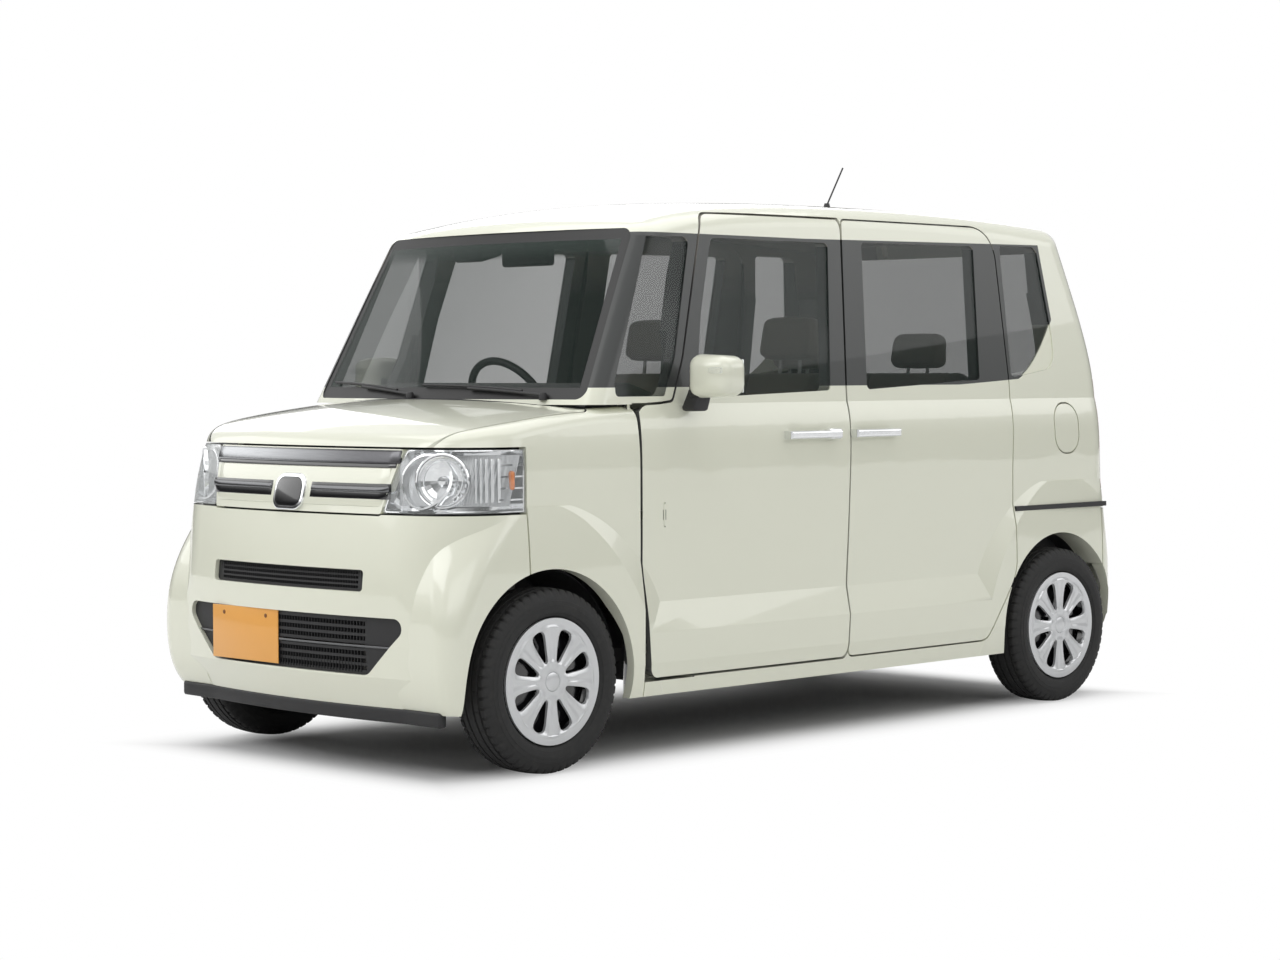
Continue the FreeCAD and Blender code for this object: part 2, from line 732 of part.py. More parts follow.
def build_sliding_doors():
    door = BODY_SKIN.common(side_prism(SLIDE_DOOR, 450, FLANK + 40))
    door = largest(door.cut([DOOR_LINING, side_prism(SLIDE_DOOR_WINDOW, 400, 800), door_top_room(),
                             wheel_space(REAR_AXLE, 560)]))
    add_piece("sliding_door_left", door)
    add_piece("sliding_door_right", mirrored(door))


PANE_OUTER = cabin_hull(size.glass_depth)
PANE_INNER = cabin_hull(size.glass_depth + size.glass_thickness)


def pane(prism):
    """A window: the glass layer within a prism."""
    return largest(PANE_OUTER.common(prism).cut(PANE_INNER))


def side_pane(outline):
    return pane(side_prism(grown(outline, -SEAT), 450, 800))


def build_glass():
    add_piece("windscreen", pane(front_prism(grown(SCREEN_OPENING, -SEAT), DOOR_FRONT - 205, NOSE)))
    glass = side_pane(FRONT_DOOR_WINDOW)
    add_piece("front_door_glass_left", glass)
    add_piece("front_door_glass_right", mirrored(glass))
    add_piece("sliding_door_glass", both(side_pane(SLIDE_DOOR_WINDOW)))
    quarters = [side_pane(outline) for outline in (FRONT_QUARTER_WINDOW, REAR_QUARTER_WINDOW)]
    add_piece("quarter_glass", Part.makeCompound(quarters + [mirrored(glass) for glass in quarters]))
    hatch = pane(front_prism(grown(HATCH_WINDOW, -SEAT), TAIL - 20, TAIL + 350))
    add_piece("tailgate_glass", hatch)


HATCH_HINGE_X = HATCH_EDGE - 30
HATCH_HINGE_Z = ROOF - 54
HATCH_HINGE_Y = 250
HATCH_PIN = 4


def build_roof():
    """Roof skin with its lining, and the arms that carry the tailgate's hinge pins."""
    over = block(HATCH_EDGE + size.door_gap, NOSE, -ROOF_HALF, ROOF_HALF, ROOF - 300, ROOF + 60)
    roof = BODY_SKIN.common(over).cut([DOOR_LINING, front_prism(SCREEN_OPENING, DOOR_FRONT - 210, NOSE)])
    arms = []
    for sign in (1, -1):
        axis = Vector(HATCH_HINGE_X, sign * HATCH_HINGE_Y, HATCH_HINGE_Z)
        arms.append(block(HATCH_HINGE_X - 4, HATCH_EDGE + 30, axis.y - 7, axis.y + 7,
                          axis.z - 26, axis.z + 2))
        arms.append(rod(axis - LEFT * 24, axis + LEFT * 24, HATCH_PIN))
    add_piece("roof_panel", joined([largest(roof)] + arms))


PLATE_RECESS = [(-178, BELT - 358, 12), (178, BELT - 358, 12), (178, BELT - 178, 12), (-178, BELT - 178, 12)]
PLATE_FACE_X = TAIL + 44
PLATE_BOLT_SPAN = 210
PLATE_BOLT_Z = BELT - 228
PLATE_BOLT_RADIUS = 3.5
PLATE_BOLT_DEPTH = 25


def plate_cuts():
    """A flat recess for the rear registration plate with its two bolt holes."""
    cuts = [front_prism(PLATE_RECESS, TAIL - 20, PLATE_FACE_X)]
    for sign in (1, -1):
        mouth = Vector(PLATE_FACE_X - 1, sign * PLATE_BOLT_SPAN / 2, PLATE_BOLT_Z)
        cuts.append(rod(mouth, mouth + Vector(PLATE_BOLT_DEPTH + 1, 0, 0), PLATE_BOLT_RADIUS))
    return cuts


def build_tailgate():
    rooms = plate_cuts()
    for sign in (1, -1):
        axis = Vector(HATCH_HINGE_X, sign * HATCH_HINGE_Y, HATCH_HINGE_Z)
        rooms.append(block(HATCH_HINGE_X - 36, HATCH_EDGE + 10, axis.y - 13, axis.y + 13,
                           axis.z - 90, axis.z + 30))
        rooms.append(rod(axis - LEFT * 26, axis + LEFT * 26, HATCH_PIN + SEAT))
    gate = BODY_SKIN.common(hatch_region(0)).cut([
        DOOR_LINING, front_prism(HATCH_WINDOW, TAIL - 20, TAIL + 350)] + rooms)
    add_piece("tailgate", largest(gate))


def build_rear_corner():
    lamp = BODY_SKIN.common(rear_lamp_region(0)).cut(body_hull(LAMP_DEPTH))
    add_piece("tail_lamps", both(largest(lamp)))
    bumper = BODY_SKIN.common(rear_bumper_region(0)).cut([
        hatch_region(size.shut_gap), body_hull(size.panel_thickness),
        wheel_space(REAR_AXLE, 560), mirrored(wheel_space(REAR_AXLE, 560))])
    add_piece("rear_bumper", largest(bumper))


# Front end outlines
LAMP_REAR = FRONT_AXLE + 90
LAMP_FOOT = 785
LAMP_TOP = 972
HEADLAMP = [(408, LAMP_FOOT, 10), (456, LAMP_TOP, 14), (FLANK + 40, LAMP_TOP, 0), (FLANK + 40, LAMP_FOOT, 0)]
GRILLE = [(-402, LAMP_FOOT - 4, 10), (402, LAMP_FOOT - 4, 10), (448, LAMP_TOP, 14), (-448, LAMP_TOP, 14)]
BONNET_FRONT = LAMP_TOP + size.shut_gap
BONNET_PLAN_HALF = [
    (NOSE - 678, 668, 30), (NOSE - 318, 645, 400), (NOSE - 153, 555, 100), (NOSE - 98, 462, 0),
    (NOSE + 40, 430, 0),
]
BONNET_REAR = NOSE - 441
BONNET_HINGE_X = NOSE - 637
BONNET_HINGE_Z = BELT - 14
BONNET_HINGE_Y = 540
BONNET_PIN = 4
BONNET_TAB = 30
BONNET_TAB_REACH = 14
SCREEN_ROOM = 13
EDGE_ROOM = 27


def bonnet_outline():
    right = [(x, -y, radius) for x, y, radius in reversed(BONNET_PLAN_HALF)]
    return [(BONNET_REAR, 0, 1690)] + BONNET_PLAN_HALF + right


def bonnet_prism(extra):
    """The bonnet's volume, with the tabs at its rear edge that hold the hinge pins."""
    outline = grown(bonnet_outline(), extra)
    low, high = BONNET_FRONT - extra, BELT + 120
    half = BONNET_TAB + extra
    tabs = [block(BONNET_HINGE_X - BONNET_TAB_REACH - extra, BONNET_HINGE_X + 40,
                  y - half, y + half, low, high)
            for y in (BONNET_HINGE_Y, -BONNET_HINGE_Y)]
    return plan_prism(outline, low, high).multiFuse(tabs)


def screen_foot_room():
    """The strip ahead of the windscreen that the bonnet's rear edge swings through."""
    base = body_outline((BELT - SCREEN_ROOM, GLASS_ROWS[0]), SCREEN_CURVE, TAIL_CURVE, -SCREEN_ROOM)
    room = [Part.Face(base).extrude(Vector(0, 0, SCREEN_ROOM)), cabin_hull(-SCREEN_ROOM)]
    for side in (1, -1):
        inner = Vector(BONNET_HINGE_X, side * (BONNET_HINGE_Y - 100), BONNET_HINGE_Z)
        tab_side = Vector(BONNET_HINGE_X, side * (BONNET_HINGE_Y - BONNET_TAB), BONNET_HINGE_Z)
        room.append(rod(inner, tab_side, EDGE_ROOM))
    return room


def headlamp_prism(extra):
    return front_prism(grown(HEADLAMP, extra), LAMP_REAR - extra, NOSE + 30)


def grille_prism(extra):
    return front_prism(grown(GRILLE, extra), NOSE - 250, NOSE + 30)


def front_spaces():
    left = wheel_space(FRONT_AXLE, 400)
    return [left, mirrored(left)]


LENS = 4
LAMP_BACK = 100
LAMP_FLOOR = 62
LAMP_WALL = 5
BOWL_CENTRE = Vector(NOSE - 118, 531, LAMP_FOOT + 93)
BOWL_RADIUS = 76
BOWL_AHEAD = 30
BOWL_SPHERE = 110
RIM_DEPTH = 80
FIN_INNER = 640
FIN_LENGTH = 90
FIN_PITCH = 34
FIN_HEIGHT = 5
SLOT_LEVELS = (LAMP_FOOT + 24, LAMP_FOOT + 78)
SLOT_HEIGHT = 18
LIP_FOOT = 182
LIP_INSET = 20
UPPER_INTAKE = [(-362, 552, 12), (362, 552, 12), (362, 616, 12), (-362, 616, 12)]
LOWER_INTAKE = [(-375, 305, 40), (375, 305, 40), (560, 478, 30), (-560, 478, 30)]


def grille_slots():
    """The dark slots under the two grille bars, on both sides of the middle."""
    slots = []
    for sign in (1, -1):
        for level in SLOT_LEVELS:
            slots.append([(sign * 70, level, 3), (sign * 402, level, 3),
                          (sign * (402 + SLOT_HEIGHT / 4), level + SLOT_HEIGHT, 3),
                          (sign * 70, level + SLOT_HEIGHT, 3)])
    return slots


def lamp_unit():
    """The tub behind a headlamp lens, with its round bowl, side chamber and fins."""
    tub = front_hull(LENS + SEAT).common(headlamp_prism(-2)).cut(front_hull(LAMP_BACK))
    space = headlamp_prism(-LAMP_WALL).cut(front_hull(LAMP_FLOOR))
    bowl = Part.makeSphere(BOWL_SPHERE, BOWL_CENTRE + AHEAD * BOWL_AHEAD)
    rim = tube(BOWL_CENTRE - AHEAD * RIM_DEPTH, BOWL_CENTRE + AHEAD * 12, BOWL_RADIUS + 6, BOWL_RADIUS)
    fins = []
    for level in range(LAMP_FOOT + 36, LAMP_TOP - 24, FIN_PITCH):
        fins.append(block(LAMP_REAR, LAMP_REAR + FIN_LENGTH, FIN_INNER, FLANK, level, level + FIN_HEIGHT))
    room = front_hull(LENS + LAMP_WALL).common(headlamp_prism(-2))
    inside = joined([rim] + fins).common(room)
    return largest(joined([tub.cut(space).cut(bowl), inside.cut(front_hull(LAMP_BACK - 2))]))


def build_front_lip():
    """The dark lip under the front bumper."""
    outline = body_outline((LIP_FOOT, LEDGE_LEVELS[0][1]), NOSE_CURVE, TAIL_CURVE, LIP_INSET)
    lip = Part.Face(outline).extrude(Vector(0, 0, SILL - SEAT - LIP_FOOT))
    hollow = Part.Face(body_outline((LIP_FOOT, LEDGE_LEVELS[0][1]), NOSE_CURVE, TAIL_CURVE,
                                    LIP_INSET + 26)).extrude(Vector(0, 0, 60))
    kept = block(FRONT_AXLE + size.arch_radius + 8, NOSE + 10, -FLANK, FLANK, 0, SILL)
    add_piece("front_lip", largest(lip.cut(hollow).common(kept)))


def build_front_end():
    gap = size.shut_gap
    shell = FRONT_SKIN.cut(FRONT_LINING)
    rooms = []
    for sign in (1, -1):
        axis = Vector(BONNET_HINGE_X, sign * BONNET_HINGE_Y, BONNET_HINGE_Z)
        rooms.append(block(BONNET_HINGE_X - 80, BONNET_HINGE_X + 22, axis.y - 12, axis.y + 12,
                           900, axis.z + 5))
        rooms.append(rod(axis - LEFT * 26, axis + LEFT * 26, BONNET_PIN + SEAT))
    add_piece("bonnet", largest(shell.common(bonnet_prism(0)).cut(
        [headlamp_prism(gap), mirrored(headlamp_prism(gap)), grille_prism(gap)]
        + screen_foot_room() + rooms)))
    bumper = shell.common(block(LAMP_REAR, NOSE + 30, -FLANK - 5, FLANK + 5, SILL, LAMP_FOOT - gap))
    bumper = bumper.cut(front_spaces() + [
        grille_prism(gap), front_prism(UPPER_INTAKE, NOSE - 200, NOSE + 50),
        front_prism(LOWER_INTAKE, NOSE - 200, NOSE + 50)])
    add_piece("front_bumper", largest(bumper))
    slots = [front_prism(outline, NOSE - 200, NOSE + 30) for outline in grille_slots()]
    add_piece("grille_panel", largest(shell.common(grille_prism(0)).cut(slots)))
    wing = shell.common(LEFT_HALF).cut([
        bonnet_prism(gap), headlamp_prism(gap), grille_prism(gap), wheel_space(FRONT_AXLE, 400),
        block(LAMP_REAR - gap, NOSE + 30, -1, FLANK + 10, SILL - 5, LAMP_FOOT),
        block(FLANK_FRONT - 10, NOSE, -1, FLANK_FRONT, BELT - 4, BELT + 200),
        block(FLANK_FRONT - 10, BONNET_REAR + 10, -1, 640, 900, BELT + 200),
        block(FLANK_FRONT - 10, DOOR_FRONT + size.door_gap, -1, FLANK + 20, SILL - 5, BELT + 200)])
    add_piece("front_wings", both(largest(wing)))
    lens = FRONT_SKIN.common(headlamp_prism(0)).cut(front_hull(4))
    add_piece("headlamp_lenses", both(largest(lens)))
    add_piece("headlamp_units", both(lamp_unit()))
    cowl = shell.common(block(NOSE - 690, BONNET_REAR + 30, -636, 636, 1000, BELT + 100))
    cowl = cowl.cut([bonnet_prism(gap), BODY_SKIN] + rooms)
    add_piece("cowl_panel", largest(cowl))


build_body_sides()
build_fuel_lid()
build_front_doors()
build_sliding_doors()
build_glass()
build_roof()
build_tailgate()
build_rear_corner()
build_front_end()
build_front_lip()


# Bodies drawn in sketches

def cell(name):
    return "Sizes." + name


def axle_x(front):
    base = "Sizes.overall_length / 2 - Sizes.front_overhang"
    return base if front else base + " - Sizes.wheelbase"


def new_body(label):
    body = document.addObject("PartDesign::Body", label)
    body.Label = label
    return body


def origin_plane(body, role):
    return next(item for item in body.Origin.OriginFeatures if item.Role == role)


def draw_outline(body, name, role, corners, lift="0"):
    """A closed sketch on one of the body's own planes; each corner is a pair of expressions."""
    sketch = body.newObject("Sketcher::SketchObject", name)
    sketch.AttachmentSupport = [(origin_plane(body, role), "")]
    sketch.MapMode = "FlatFace"
    sketch.setExpression("AttachmentOffset.Base.z", lift)
    places = [Vector(float(sheet.evalExpression(a)), float(sheet.evalExpression(b)), 0) for a, b in corners]
    count = len(places)
    for i in range(count):
        sketch.addGeometry(Part.LineSegment(places[i], places[(i + 1) % count]), False)
    for i in range(count):
        sketch.addConstraint(Sketcher.Constraint("Coincident", i, 2, (i + 1) % count, 1))
    for i, (a, b) in enumerate(corners):
        for kind, value, text in (("DistanceX", places[i].x, a), ("DistanceY", places[i].y, b)):
            index = sketch.addConstraint(Sketcher.Constraint(kind, -1, 1, i, 1, value))
            sketch.setExpression("Constraints[%d]" % index, text)
    return sketch


def revolve(body, name, sketch, axis="V_Axis"):
    turned_part = body.newObject("PartDesign::Revolution", name)
    turned_part.Profile = sketch
    turned_part.ReferenceAxis = (sketch, [axis])
    turned_part.Angle = 360
    document.recompute()
    return turned_part


def pad(body, name, sketch, length, both_ways=True):
    padded = body.newObject("PartDesign::Pad", name)
    padded.Profile = sketch
    padded.setExpression("Length", length)
    padded.Midplane = both_ways
    document.recompute()
    return padded


def pocket(body, name, sketch, length, reverse=False):
    cut = body.newObject("PartDesign::Pocket", name)
    cut.Profile = sketch
    cut.setExpression("Length", length)
    cut.Reversed = reverse
    document.recompute()
    return cut


def fillet(body, name, base, radius, wanted):
    """Round the edges of a feature that a test picks."""
    names = ["Edge%d" % (i + 1) for i, edge in enumerate(base.Shape.Edges) if wanted(edge)]
    rounded = body.newObject("PartDesign::Fillet", name)
    rounded.Base = (base, names)
    rounded.Radius = radius
    document.recompute()
    return rounded


def place_at(item, x, y, z):
    item.setExpression("Placement.Base.x", x)
    item.setExpression("Placement.Base.y", y)
    item.setExpression("Placement.Base.z", z)


SIDES = {"left": 1, "right": -1}
CORNERS = [(end, side) for end in ("front", "rear") for side in SIDES]


def place_wheel_piece(item, end, side):
    """Set a piece drawn about the wheel's centre, its outer face toward +Y, on one of the four hubs."""
    sign = SIDES[side]
    item.Placement = Placement(Vector(0, 0, 0), Rotation(UP, 0 if sign > 0 else 180))
    place_at(item, axle_x(end == "front"), "%d * Sizes.track_width / 2" % sign, cell("tyre_radius"))


FLANGE_RISE = 10.5
FLANGE_WIDTH = 6


def build_tyre(end, side):
    """A tubeless tyre: beads inside the rim's flanges, bulged walls, rounded shoulders."""
    tyre = new_body("tyre_%s_%s" % (end, side))
    bead = "(Sizes.rim_radius + Sizes.seat_clearance)"
    inside = "(Sizes.rim_width / 2 - Sizes.seat_clearance)"
    over = "(Sizes.rim_radius + %s + Sizes.seat_clearance)" % FLANGE_RISE
    half = "(Sizes.tyre_width / 2)"
    tread = "Sizes.tyre_radius"
    half_section = [
        (bead, inside), (over, inside), (over, half + " - 12"), ("Sizes.rim_radius + 24", half + " - 4"),
        ("Sizes.rim_radius + 48", half), (tread + " - 22", half + " - 4"), (tread, half + " - 22"),
    ]
    section = half_section + [(r, "-(%s)" % y) for r, y in reversed(half_section)]
    sketch = draw_outline(tyre, "Section", "XY_Plane", section)
    whole = revolve(tyre, "Carcass", sketch)
    shoulder = size.tyre_radius
    rounded = fillet(tyre, "Shoulders", whole, 18, lambda edge: abs(edge.BoundBox.ZMax - shoulder) < 0.5
                     and edge.BoundBox.YLength < 1)
    place_wheel_piece(tyre, end, side)
    NODES.append(tyre)


MOUNT_FACE = 40
COVER_RADIUS = 190
SPOKES = 8


def build_wheel(end, side):
    """A steel rim with its disc, a full wheel cover with eight spokes, and the brake disc."""
    name = "%s_%s" % (end, side)
    rim = new_body("rim_" + name)
    seat, lip = "Sizes.rim_radius", "(Sizes.rim_radius + %s)" % FLANGE_RISE
    half, edge = "Sizes.rim_width / 2", "(Sizes.rim_width / 2 + %s)" % FLANGE_WIDTH
    bore = "(Sizes.hub_radius + Sizes.seat_clearance)"
    inner = "(Sizes.rim_radius - 9)"
    section = [
        (lip, "-" + edge), (lip, "-" + half), (seat, "-" + half), (seat, half), (lip, half), (lip, edge),
        (inner, edge), (inner, "%d" % (MOUNT_FACE + 6)), (bore, "%d" % (MOUNT_FACE + 6)),
        (bore, "%d" % MOUNT_FACE), (inner, "%d" % MOUNT_FACE), (inner, "-" + edge),
    ]
    revolve(rim, "Barrel", draw_outline(rim, "Section", "XY_Plane", section))
    cover = new_body("cover_" + name)
    face = "(Sizes.rim_width / 2 + %s + Sizes.seat_clearance)" % FLANGE_WIDTH
    section = [
        ("0", face + " - 8"), ("%d" % (COVER_RADIUS - 22), face + " - 8"), ("%d" % (COVER_RADIUS - 16), face),
        ("%d" % COVER_RADIUS, face), ("%d" % (COVER_RADIUS - 4), face + " + 5"),
        ("%d" % (COVER_RADIUS - 18), face + " + 4"), ("60", face + " + 7"), ("34", face + " + 4"),
        ("30", face + " + 7"), ("0", face + " + 7"),
    ]
    plate = revolve(cover, "Plate", draw_outline(cover, "Section", "XY_Plane", section))
    opening = [("-9", "62"), ("9", "62"), ("34", "158"), ("-34", "158")]
    sketch = draw_outline(cover, "Opening", "XZ_Plane", opening)
    gaps = pocket(cover, "Gap", sketch, "200")
    gaps.Midplane = True
    gaps.Type = 1
    document.recompute()
    pattern = cover.newObject("PartDesign::PolarPattern", "Gaps")
    pattern.Originals = [gaps]
    pattern.Axis = (sketch, ["N_Axis"])
    pattern.Angle = 360
    pattern.Occurrences = SPOKES
    cover.Tip = pattern
    document.recompute()
    disc = new_body("brake_disc_" + name)
    back = "%s" % (MOUNT_FACE - SEAT)
    section = [
        (bore, back), ("72", back), ("72", "%s - 26" % back), (cell("disc_radius"), "%s - 26" % back),
        (cell("disc_radius"), "%s - 26 - Sizes.disc_thickness" % back),
        ("60", "%s - 26 - Sizes.disc_thickness" % back), ("60", "%s - 8" % back), (bore, "%s - 8" % back),
    ]
    revolve(disc, "Ring", draw_outline(disc, "Section", "XY_Plane", section))
    wheel = document.addObject("Part::Compound", "wheel_" + name)
    wheel.Label = "wheel_" + name
    wheel.Links = [rim, cover, disc]
    place_wheel_piece(wheel, end, side)
    document.recompute()
    NODES.append(wheel)


# Running gear

KINGPIN = Vector(0, -math.sin(math.radians(size.kingpin_lean)), math.cos(math.radians(size.kingpin_lean)))
KINGPIN_FOOT = Vector(FRONT_AXLE, size.kingpin_ground_y, 0)
BALL_HEIGHT = 168
STRUT_TOP = 850
TOWER_PLATE = 18
APRON_Y = 396
APRON_WALL = 8


def on_kingpin(height):
    """The steering axis at a height."""
    return KINGPIN_FOOT + KINGPIN * (height / KINGPIN.z)


def build_knuckles():
    """Upright, axle stub, caliper, steering arm and strut, which turn together about the kingpin."""
    hub = Vector(FRONT_AXLE, WHEEL_PLANE, AXLE_HEIGHT)
    upright = rod(on_kingpin(BALL_HEIGHT + 2), on_kingpin(360), 24)
    carrier = rod(hub - LEFT * 96, hub - LEFT * 12, 42)
    stub = rod(hub - LEFT * 60, hub + LEFT * (MOUNT_FACE + 12), size.hub_radius)
    tube_leg = rod(on_kingpin(340), on_kingpin(640), 25)
    seat_plate = rod(on_kingpin(588), on_kingpin(596), 56)
    spring = rod(on_kingpin(596), on_kingpin(800), 46)
    top_plate = rod(on_kingpin(800), on_kingpin(808), 52)
    piston = rod(on_kingpin(808), on_kingpin(STRUT_TOP + TOWER_PLATE + 8), 10)
    outer = size.disc_radius
    bracket = block(FRONT_AXLE - outer - 38, FRONT_AXLE - 20, hub.y - 40, hub.y - 16,
                    AXLE_HEIGHT - 16, AXLE_HEIGHT + 16)
    caliper = block(FRONT_AXLE - outer - 40, FRONT_AXLE - outer - 6, hub.y - 40, hub.y + 32,
                    AXLE_HEIGHT - 38, AXLE_HEIGHT + 38)
    arm = rod(on_kingpin(235), on_kingpin(235) + Vector(-118, -14, 0), 11)
    knuckle = joined([upright, carrier, stub, tube_leg, seat_plate, spring, top_plate, piston,
                      bracket, caliper, arm])
    add_piece("knuckle_left", knuckle)
    add_piece("knuckle_right", mirrored(knuckle))


FIREWALL_X = NOSE - 712
FIREWALL = 14
RAIL_FOOT = 420
CARRIER_BAND = 57


def build_front_structure():
    """Firewall, wheel aprons with their strut towers, rails, radiator frame and the nose carrier."""
    firewall = block(FIREWALL_X, FIREWALL_X + FIREWALL, -596, 596, FLOOR - 40, BELT - 40)
    pieces = [firewall]
    for sign in (1, -1):
        axis = Vector(BONNET_HINGE_X, sign * BONNET_HINGE_Y, BONNET_HINGE_Z)
        profile = [(axis.x - 5, axis.z, 0), (axis.x + 5, axis.z, 0), (axis.x + 2, axis.z - 60, 0),
                   (FIREWALL_X + 4, axis.z - 110, 0), (FIREWALL_X + 4, axis.z - 82, 0),
                   (axis.x - 16, axis.z - 50, 0)]
        pieces.append(side_prism(profile, axis.y - 5, axis.y + 5))
        pieces.append(rod(axis - LEFT * 24, axis + LEFT * 24, BONNET_PIN))
    front_end = NOSE - 120
    for sign in (1, -1):
        pieces.append(block(FIREWALL_X, front_end, sign * APRON_Y, sign * (APRON_Y + APRON_WALL),
                            RAIL_FOOT, 880))
        pieces.append(block(FIREWALL_X, front_end, sign * (APRON_Y - 60), sign * APRON_Y,
                            RAIL_FOOT, RAIL_FOOT + 80))
        top = block(FRONT_AXLE - 90, FRONT_AXLE + 90, sign * APRON_Y, sign * 560,
                    STRUT_TOP, STRUT_TOP + TOWER_PLATE)
        bore = rod(on_kingpin(STRUT_TOP - 30), on_kingpin(STRUT_TOP + 60), 10 + SEAT)
        pieces.append(top.cut(bore if sign > 0 else mirrored(bore)))
    pieces.append(block(front_end - 20, front_end, -APRON_Y, APRON_Y, RAIL_FOOT, RAIL_FOOT + 60))
    pieces.append(block(front_end - 20, front_end, -APRON_Y, APRON_Y, 820, 880))
    band = front_hull(size.panel_thickness + SEAT).cut(front_hull(size.panel_thickness + 40))
    low, high = LAMP_FOOT + 2 - SEAT - CARRIER_BAND, LAMP_FOOT + 2 - SEAT
    band = band.common(block(FRONT_AXLE - 60, NOSE, -FLANK, FLANK, low, high))
    arms = [block(front_end - 40, NOSE - 68, sign * (APRON_Y - 20), sign * (APRON_Y + 20), low, high)
            for sign in (1, -1)]
    arms = [arm.common(front_hull(size.panel_thickness + 5)) for arm in arms]
    frame = joined(pieces + [largest(band)] + arms)
    spaces = [Part.makeCylinder(size.arch_radius + 8, 400, Vector(FRONT_AXLE, sign * (APRON_Y + APRON_WALL),
              AXLE_HEIGHT), LEFT * sign) for sign in (1, -1)]
    add_piece("front_structure", largest(frame.cut(spaces)))


SUBFRAME_FOOT = 165
SUBFRAME_TOP = 225


def build_subframe():
    """The cross beam under the engine, its legs to the rails and the lower arms with their ball joints."""
    beam = block(FRONT_AXLE - 120, FRONT_AXLE + 70, -350, 350, SUBFRAME_FOOT, SUBFRAME_TOP)
    pieces = [beam]
    for side in (1, -1):
        pieces.append(block(FRONT_AXLE - 90, FRONT_AXLE + 40, side * 336, side * 350,
                            SUBFRAME_FOOT, RAIL_FOOT - SEAT))
        joint = rod(on_kingpin(BALL_HEIGHT - 34), on_kingpin(BALL_HEIGHT + 2) - KINGPIN * SEAT, 22)
        ball = Vector(FRONT_AXLE, side * on_kingpin(BALL_HEIGHT - 20).y, BALL_HEIGHT - 20)
        pieces.append(joint if side > 0 else mirrored(joint))
        for reach in (-100, 50):
            pieces.append(rod(Vector(FRONT_AXLE + reach, side * 340, SUBFRAME_FOOT + 26), ball, 11))
    add_piece("front_subframe", joined(pieces))


def build_engine():
    """Engine and gearbox as one plain block."""
    engine = document.addObject("Part::Box", "engine_case")
    engine.Length = 400
    engine.Width = 600
    engine.setExpression("Height", "%d - %d" % (860, SUBFRAME_TOP))
    engine.Placement.Base = Vector(FIREWALL_X + 105, -300, SUBFRAME_TOP + SEAT)
    block_piece = document.addObject("Part::Chamfer", "engine_block")
    block_piece.Base = engine
    document.recompute()
    block_piece.Edges = [(i + 1, 30, 30) for i in range(12)]
    document.recompute()
    NODES.append(block_piece)


LOAD_STEP_X = REAR_AXLE + 382


def build_floor():
    """Floor pan: flat under the seats, a step up over the rear axle, an upstand under the tailgate."""
    low, high = FLOOR, size.load_floor_height
    thick = size.floor_thickness
    rear = TAIL + 86
    profile = [
        (FIREWALL_X - SEAT, low, 0), (LOAD_STEP_X, low, 0), (LOAD_STEP_X, high, 0), (rear + 36, high, 0),
        (rear + 36, HATCH_FOOT - 10, 0), (rear, HATCH_FOOT - 10, 0), (rear, high - thick - 60, 0),
        (rear + 36, high - thick, 0), (LOAD_STEP_X - 40, high - thick, 0), (LOAD_STEP_X - 40, low - thick, 0),
        (FIREWALL_X - SEAT, low - thick, 0),
    ]
    pan = side_prism(profile, -700, 700)
    rear_pan = pan.common(body_hull(size.wall_thickness + SEAT, 120)).common(
        block(TAIL, HINGE_X - 100, -700, 700, 0, 700))
    front_pan = pan.common(block(HINGE_X - 101, NOSE, -596, 596, 0, 700))
    beam = block(TAIL, rear + 1, -420, 420, HATCH_FOOT - 100, HATCH_FOOT - 20)
    beam = beam.common(body_hull(size.panel_thickness + SEAT))
    clear = [Part.makeCylinder(size.arch_radius + 8, 400, Vector(FRONT_AXLE, sign * APRON_Y, AXLE_HEIGHT),
             LEFT * sign) for sign in (1, -1)]
    clear += [Part.makeCylinder(size.arch_radius + 8, 400, Vector(REAR_AXLE, sign * 548, AXLE_HEIGHT),
              LEFT * sign) for sign in (1, -1)]
    clear += [Part.makeCylinder(HINGE_SWEEP + HINGE_WALL + SEAT, 900, Vector(HINGE_X, sign * HINGE_Y, SILL))
              for sign in (1, -1)]
    add_piece("floor_pan", largest(joined([rear_pan, front_pan, beam]).cut(clear)))


def build_wheelhouses():
    """Arch liners: curved shells in front, closed housings behind."""
    def shell(axle, near, far, radius):
        ring = tube(Vector(axle, near, AXLE_HEIGHT), Vector(axle, far, AXLE_HEIGHT), radius + 4, radius)
        return ring.common(block(axle - 500, axle + 500, near, far, AXLE_HEIGHT - 20, AXLE_HEIGHT + 500))
    front = shell(FRONT_AXLE, APRON_Y + APRON_WALL + SEAT, 640, size.arch_radius + 1)
    front = front.cut(block(FRONT_AXLE - 105, FRONT_AXLE + 105, APRON_Y, 578, 500, 700))
    front = front.common(front_hull(size.panel_thickness + SEAT))
    rear = shell(REAR_AXLE, 552, 632, size.arch_radius + 1)
    cap = rod(Vector(REAR_AXLE, 548 + SEAT, AXLE_HEIGHT), Vector(REAR_AXLE, 552, AXLE_HEIGHT),
              size.arch_radius + 5)
    cap = cap.common(block(REAR_AXLE - 500, REAR_AXLE + 500, 540, 560, AXLE_HEIGHT + 70, 700))
    rear = joined([rear, cap]).common(body_hull(size.wall_thickness + SEAT, 120))
    add_piece("wheelhouse_liners", Part.makeCompound(
        [largest(front), mirrored(largest(front)), largest(rear), mirrored(largest(rear))]))


